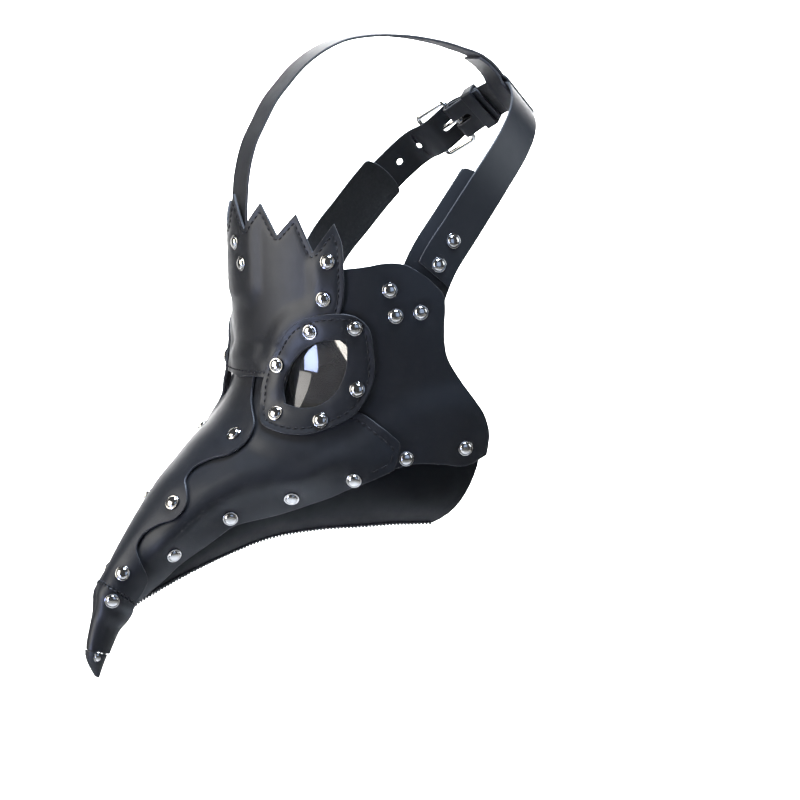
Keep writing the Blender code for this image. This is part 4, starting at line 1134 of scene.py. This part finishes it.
def rivet(name, place, normal, material, size=1.0):
    """A domed rivet cap with a narrow base ring."""
    normal = normal / np.linalg.norm(normal)
    side = np.cross(normal, [0, 0, 1] if abs(normal[2]) < 0.9 else [1, 0, 0])
    side /= np.linalg.norm(side)
    other = np.cross(normal, side)
    turn = np.linspace(0, 2 * math.pi, RIVET_AROUND, endpoint=False)[:, None]
    points = []
    for wide, high in RIVET_PROFILE:
        circle = (np.cos(turn) * side + np.sin(turn) * other) * RIVET_RADIUS * size * wide
        points.append(place + normal * RIVET_HEIGHT * size * high + circle)
    points.append([place + normal * RIVET_HEIGHT * size])
    top = len(RIVET_PROFILE) * RIVET_AROUND
    faces = [tuple(range(RIVET_AROUND))[::-1]]
    for k in range(len(RIVET_PROFILE) - 1):
        for i in range(RIVET_AROUND):
            j = (i + 1) % RIVET_AROUND
            a, b = k * RIVET_AROUND + i, k * RIVET_AROUND + j
            faces.append((a, b, b + RIVET_AROUND, a + RIVET_AROUND))
    faces += [(top - RIVET_AROUND + i, top - RIVET_AROUND + (i + 1) % RIVET_AROUND, top)
              for i in range(RIVET_AROUND)]
    return add_object(name, np.vstack(points), faces, [material], None, 50)


def form_rivets(name, places, height_of, nickel, in_cad=True):
    """Rivets on a panel of the form, numbered from 1."""
    turn = np.radians(np.arange(0, 360, 45))
    for i, place in enumerate(places):
        rim = np.array(place) + RIVET_RADIUS * np.column_stack([np.cos(turn), np.sin(turn)])
        rim = np.vstack([rim, place])
        points = on_form(rim, height_of(rim) + LEATHER)
        normal = np.cross(points[0] - points[4], points[2] - points[6])
        normal /= np.linalg.norm(normal)
        proud = max(((points - points[-1]) @ normal).max() - 0.25, 0)
        made = rivet(f"{name}_{i + 1}_cap", points[-1] + proud * normal, normal, nickel)
        worn(made, "nickel", *([f"{name}_{i + 1}"] if in_cad else []))


def panel_rivets(nickel):
    """All the rivets of the panels."""
    form_rivets("crown_rivet", CROWN_RIVETS, COVERS["crown"], nickel)
    for side, sign in (("left", 1), ("right", -1)):
        def turned(places):
            return [(g * sign, v) for g, v in places]
        form_rivets("temple_rivet_" + side, turned(TEMPLE_RIVETS), COVERS["cheek"], nickel)
        form_rivets("beak_row_rivet_" + side, turned(ROW_RIVETS[:4]), COVERS["beak"], nickel)
        form_rivets("cheek_row_rivet_" + side, turned(ROW_RIVETS[4:]), COVERS["cheek"], nickel)
        form_rivets("eye_rivet_" + side, turned(EYE_RIVETS), COVERS["eye"], nickel, False)
        form_rivets("ridge_rivet_" + side, turned(RIDGE_RIVETS), COVERS["nose"], nickel, False)
        form_rivets("tip_rivet_" + side, turned(TIP_RIVETS), COVERS["tip"], nickel, False)
    for side, sign in (("left", 1), ("right", -1)):
        normal = form_normal(np.array([END_RIVET]))[0] + END_RIVET_TILT
        near = form_point(np.array([END_RIVET]))[0] + normal * END_RIVET_PROUD
        made = rivet("end_rivet_" + side, near * [sign, 1, 1], normal * [sign, 1, 1], nickel, END_RIVET_SCALE)
        worn(made, "nickel")


def strip_outline(start, end, half, stations, tip=0.0, root=0.0, slant=0.0):
    """A long strip with stations along both edges, and the rungs that join them."""
    inner = [s for s in stations if start + max(root, slant) + 0.6 < s < end - tip - 0.6]
    low = [(start + root, -half), *[(s, -half) for s in inner], (end - tip, -half)]
    high = [(s, -w) for s, w in low[::-1]]
    low[0] = (start + root + slant, -half)
    nose = [(end - tip + tip * math.cos(t), half * math.sin(t)) for t in np.linspace(-1.4, 1.4, 12)]
    heel = [(start + root - root * math.cos(t), -half * math.sin(t)) for t in np.linspace(-1.4, 1.4, 8)]
    outline = low + (nose if tip else []) + high + (heel if root else [])
    return np.array(outline, float), [((s, -half), (s, half)) for s in inner]


def fine_stations(profile, step=3.0):
    """Distances along a profile: its own points, with more between them where they are far apart."""
    stops = lengths_along(np.array(profile, float))
    made = []
    for here, there in zip(stops[:-1], stops[1:]):
        made += list(np.linspace(here, there, max(1, round((there - here) / step)), endpoint=False))
    return made + [stops[-1]]


def strap_piece(name, node, line, profile, holes, tip, slant, looks):
    """A strap of leather that follows a profile of a line, with its thickness about the profile."""
    place, length = strap_mapper(line, profile)
    outline, rungs = strip_outline(0, length, STRAP_WIDTH / 2, fine_stations(profile), tip, slant=slant)
    made = sheet(outline, place, -LEATHER / 2, LEATHER, STRIP_SPACING, holes, rungs)
    return worn_leather(name, node, made, looks)


def side_straps(looks, line, bar):
    """The two side straps: one folded on the buckle's bar, one threaded through the buckle."""
    held = fold_profile(STRAP_START, bar)
    fold = lengths_along(np.array(held))[-9]
    strap_piece("side_strap_left_leather", "side_strap_left", line, held,
                [slot(fold - 12.5, fold + 12.5, SLOT_HALF_WIDTH)], 0, STRAP_SLANT, looks)
    tail = tail_profile(line_length(line) - STRAP_START, bar)
    stops = lengths_along(np.array(tail))
    holes = [slot(stops[-4] - 11, stops[-4] + 3.2, SLOT_HALF_WIDTH)]
    for k in range(PUNCHES):
        middle = stops[-12] - 14 - k * PUNCH_PITCH
        holes.append(slot(middle - PUNCH_RADIUS, middle + PUNCH_RADIUS + 0.01, PUNCH_RADIUS))
    strap_piece("side_strap_right_leather", "side_strap_right", line, tail, holes, 8, STRAP_SLANT, looks)


def buckle(looks, line, bar):
    """The pin buckle: frame, prong and leather keeper."""
    point, forward, normal, side = (row[0] for row in line_frame(line, [bar]))

    def local(rows):
        rows = np.asarray(rows, float)
        return point + rows[:, :1] * forward + rows[:, 1:2] * side + rows[:, 2:3] * normal

    corners = [(FRAME_LENGTH, FRAME_HALF_WIDTH), (0, FRAME_HALF_WIDTH),
               (0, -FRAME_HALF_WIDTH), (FRAME_LENGTH, -FRAME_HALF_WIDTH)]
    ring = []
    for (x, y), start in zip(corners, (0, 90, 180, 270)):
        in_x = x - math.copysign(FRAME_CORNER, x - FRAME_LENGTH / 2)
        in_y = y - math.copysign(FRAME_CORNER, y)
        for turn in np.radians(np.linspace(start, start + 90, 8)):
            ring.append((in_x + FRAME_CORNER * math.cos(turn), in_y + FRAME_CORNER * math.sin(turn), 0))
    wire = tube(local(ring), WIRE, 16, True, normal)
    worn(add_object("side_buckle_wire", *wire, [looks["nickel"]], None, 0), "nickel", "side_buckle_frame")
    hook = WIRE + 0.35 + PRONG_WIRE
    pin = [(hook * math.cos(t), 0, hook * math.sin(t)) for t in np.radians(np.linspace(235, 90, 16))]
    pin += [(x, 0, hook) for x in np.arange(3, PRONG_REACH - 1.5, 3)]
    pin += [(PRONG_REACH - 1.5, 0, hook), (PRONG_REACH, 0, hook - 0.3)]
    wire = tube(local(pin), PRONG_WIRE, 14, False, side)
    prong = add_object("side_buckle_pin", *wire, [looks["nickel"]], None, 50)
    worn(prong, "nickel", "side_buckle_prong", body="side_prong")
    worn(keeper(looks, local), "leather", "side_buckle_keeper", body="side_keeper")


def keeper(looks, local):
    """The leather loop that holds the strap's tip down."""
    half = STRAP_WIDTH / 2 + KEEPER_CLEAR
    low = -FOLD_FLAT - LEATHER / 2 - KEEPER_CLEAR
    high = TAIL_OVER_FOLD + LEATHER / 2 + KEEPER_CLEAR
    path = []
    for (y, z), start in zip(((half, high), (-half, high), (-half, low), (half, low)), (0, 90, 180, 270)):
        for turn in np.radians(np.linspace(start, start + 90, 6)):
            path.append((y, z, math.cos(turn), math.sin(turn)))
    rows = []
    for x in (KEEPER_AT - KEEPER_WIDTH / 2, KEEPER_AT + KEEPER_WIDTH / 2):
        rows += [(x, y, z) for y, z, _, _ in path]
        rows += [(x, y + KEEPER_WALL * c, z + KEEPER_WALL * s) for y, z, c, s in path]
    n = len(path)
    faces = []
    for i in range(n):
        j = (i + 1) % n
        faces.append((i, j, j + 2 * n, i + 2 * n))
        faces.append((i + n, i + 3 * n, j + 3 * n, j + n))
        faces.append((i, i + n, j + n, j))
        faces.append((i + 2 * n, j + 2 * n, j + 3 * n, i + 3 * n))
    points, faces = weld(local(rows), faces)
    made = add_object("side_buckle_loop", points, faces, [looks["leather"]], None, 40)
    round_edges(made, EDGE_ROUND)
    return made


def weld(points, faces):
    """Joins equal points, and drops the faces that this leaves without area."""
    keys, index = {}, []
    for p in np.asarray(points):
        index.append(keys.setdefault(tuple(np.round(p, 4)), len(keys)))
    kept = []
    for face in faces:
        ring = [index[i] for i in face]
        ring = [a for k, a in enumerate(ring) if a != ring[k - 1]]
        if len(ring) > 2:
            kept.append(tuple(ring))
    return np.array(list(keys)), kept


def tabs(looks, line):
    """The tabs that come out from under the temples, curved across their width."""
    along, _ = strap_mapper(line, [(s, 0.0) for s in np.arange(0, TAB_REACH + 1, 6.0)])

    def place(flat, height):
        return along(flat, height - flat[:, 1] ** 2 / (2 * TAB_BEND))

    outline, _ = strip_outline(0, TAB_REACH - 4, TAB_HALF_WIDTH, np.arange(2.5, TAB_REACH, 2.5), 4, 5)
    made = sheet(outline + TAB_SHIFT, place, -LAYER - LEATHER / 2, LEATHER, (FINE * 1.5, FINE * 1.5))
    materials = [looks["leather"], looks["edge"], looks["backing"]]
    worn_pair("temple_tab_leather", made, materials, "leather", "temple_tab")


def straps(looks):
    """Side straps with their tabs and buckle, and the top strap that loops round them at the back."""
    mirrored_half = [(-x, y, z) for x, y, z in SIDE_HALF[3::-1]]
    line = strap_line(SIDE_HALF, SIDE_CROSSING, SIDE_BUCKLED, mirrored_half)
    bar = distance_to(line, SIDE_BUCKLED[0]) + BAR_FROM_BEND
    side_straps(looks, line, bar)
    buckle(looks, line, bar)
    tabs(looks, line)
    for mirror, side in ((1, "left"), (-1, "right")):
        for i, s in enumerate(STRAP_RIVETS):
            point, _, normal, _ = (row[0] for row in line_frame(line, [STRAP_START + s]))
            place = (point + normal * (LEATHER / 2 + 0.05)) * [mirror, 1, 1]
            made = rivet(f"strap_rivet_{side}_{i + 1}_cap", place, normal * [mirror, 1, 1], looks["nickel"])
            worn(made, "nickel", f"strap_rivet_{side}_{i + 1}")
    top = strap_line(TOP_FRONT, TOP_CROSSING)
    crossing = distance_to(top, TOP_CROSSING[0]) + math.dist(TOP_CROSSING[0], (0, *SIDE_CROSSING[0][1:]))
    strap_piece("top_strap_leather", "top_strap", top, loop_profile(crossing), [], 0, 0, looks)
    point, _, normal, _ = (row[0] for row in line_frame(top, [crossing - LOOP_RIVET]))
    place = point + normal * (LOOP_FLAT + LEATHER / 2 + 0.05)
    made = rivet("top_strap_rivet_cap", place, normal, looks["nickel"])
    worn(made, "nickel", "top_strap_rivet")


def camera():
    """A long lens level with the wearer's left front."""
    turn, rise = math.radians(CAMERA_TURN), math.radians(CAMERA_RISE)
    right = Vector((math.cos(turn), math.sin(turn), 0))
    back = Vector((math.sin(turn) * math.cos(rise), -math.cos(turn) * math.cos(rise), math.sin(rise)))
    data = bpy.data.cameras.new("camera")
    data.lens = SENSOR * CAMERA_FAR / VIEW_WIDTH
    data.sensor_width = SENSOR
    data.clip_end = 20
    made = bpy.data.objects.new("camera", data)
    axes = Matrix((right, back.cross(right), back)).transposed()
    made.matrix_world = Matrix.Translation((Vector(CAMERA_AIM) + back * CAMERA_FAR) * MM) @ axes.to_4x4()
    bpy.context.scene.collection.objects.link(made)
    bpy.context.scene.camera = made


def softbox(name, place, aim, size, power, colour, spread):
    """A square area light, with its spread in degrees."""
    data = bpy.data.lights.new(name, "AREA")
    data.shape = "SQUARE"
    data.size = size
    data.energy = power
    data.color = colour
    data.spread = math.radians(spread)
    made = bpy.data.objects.new(name, data)
    made.location = place
    made.rotation_euler = (Vector(aim) - Vector(place)).to_track_quat("-Z", "Y").to_euler()
    bpy.context.scene.collection.objects.link(made)


def studio(looks):
    """A pale floor that sweeps up behind the mask, a soft key from the mask's front, and weak fills."""
    turn = math.radians(CAMERA_TURN)
    away = np.array([-math.sin(turn), math.cos(turn), 0])
    across = np.array([math.cos(turn), math.sin(turn), 0])
    profile = [(-BACKDROP_NEAR, 0), (0, 0), (BACKDROP_FAR, 0)]
    profile += [(BACKDROP_FAR + math.sin(t), 1 - math.cos(t)) for t in np.radians(np.linspace(7.5, 90, 12))]
    profile += [(BACKDROP_FAR + 1, BACKDROP_HIGH)]
    points = [(away * far + across * side * BACKDROP_WIDE + [0, 0, FLOOR + high]) / MM
              for far, high in profile for side in (-1, 1)]
    faces = [(2 * k, 2 * k + 1, 2 * k + 3, 2 * k + 2) for k in range(len(profile) - 1)]
    floor = add_object("floor", points, faces, [looks["backdrop"]], None, 0)
    for row in SOFTBOXES:
        softbox(*row)
    world = bpy.data.worlds.new("studio")
    world.use_nodes = True
    world.node_tree.nodes["Background"].inputs["Color"].default_value = (0.9, 0.93, 1, 1)
    world.node_tree.nodes["Background"].inputs["Strength"].default_value = WORLD_STRENGTH
    bpy.context.scene.world = world
    bpy.context.scene.view_settings.view_transform = "Standard"


def build():
    """The whole mask on its stage."""
    looks = {**leather_looks(), **thread_looks(), **hard_looks()}
    camera()
    studio(looks)
    side_panels(looks)
    middle_panels(looks)
    tip_seam(looks)
    hem(looks)
    tip_end(looks)
    lenses(looks)
    panel_rivets(looks["nickel"])
    straps(looks)


build()
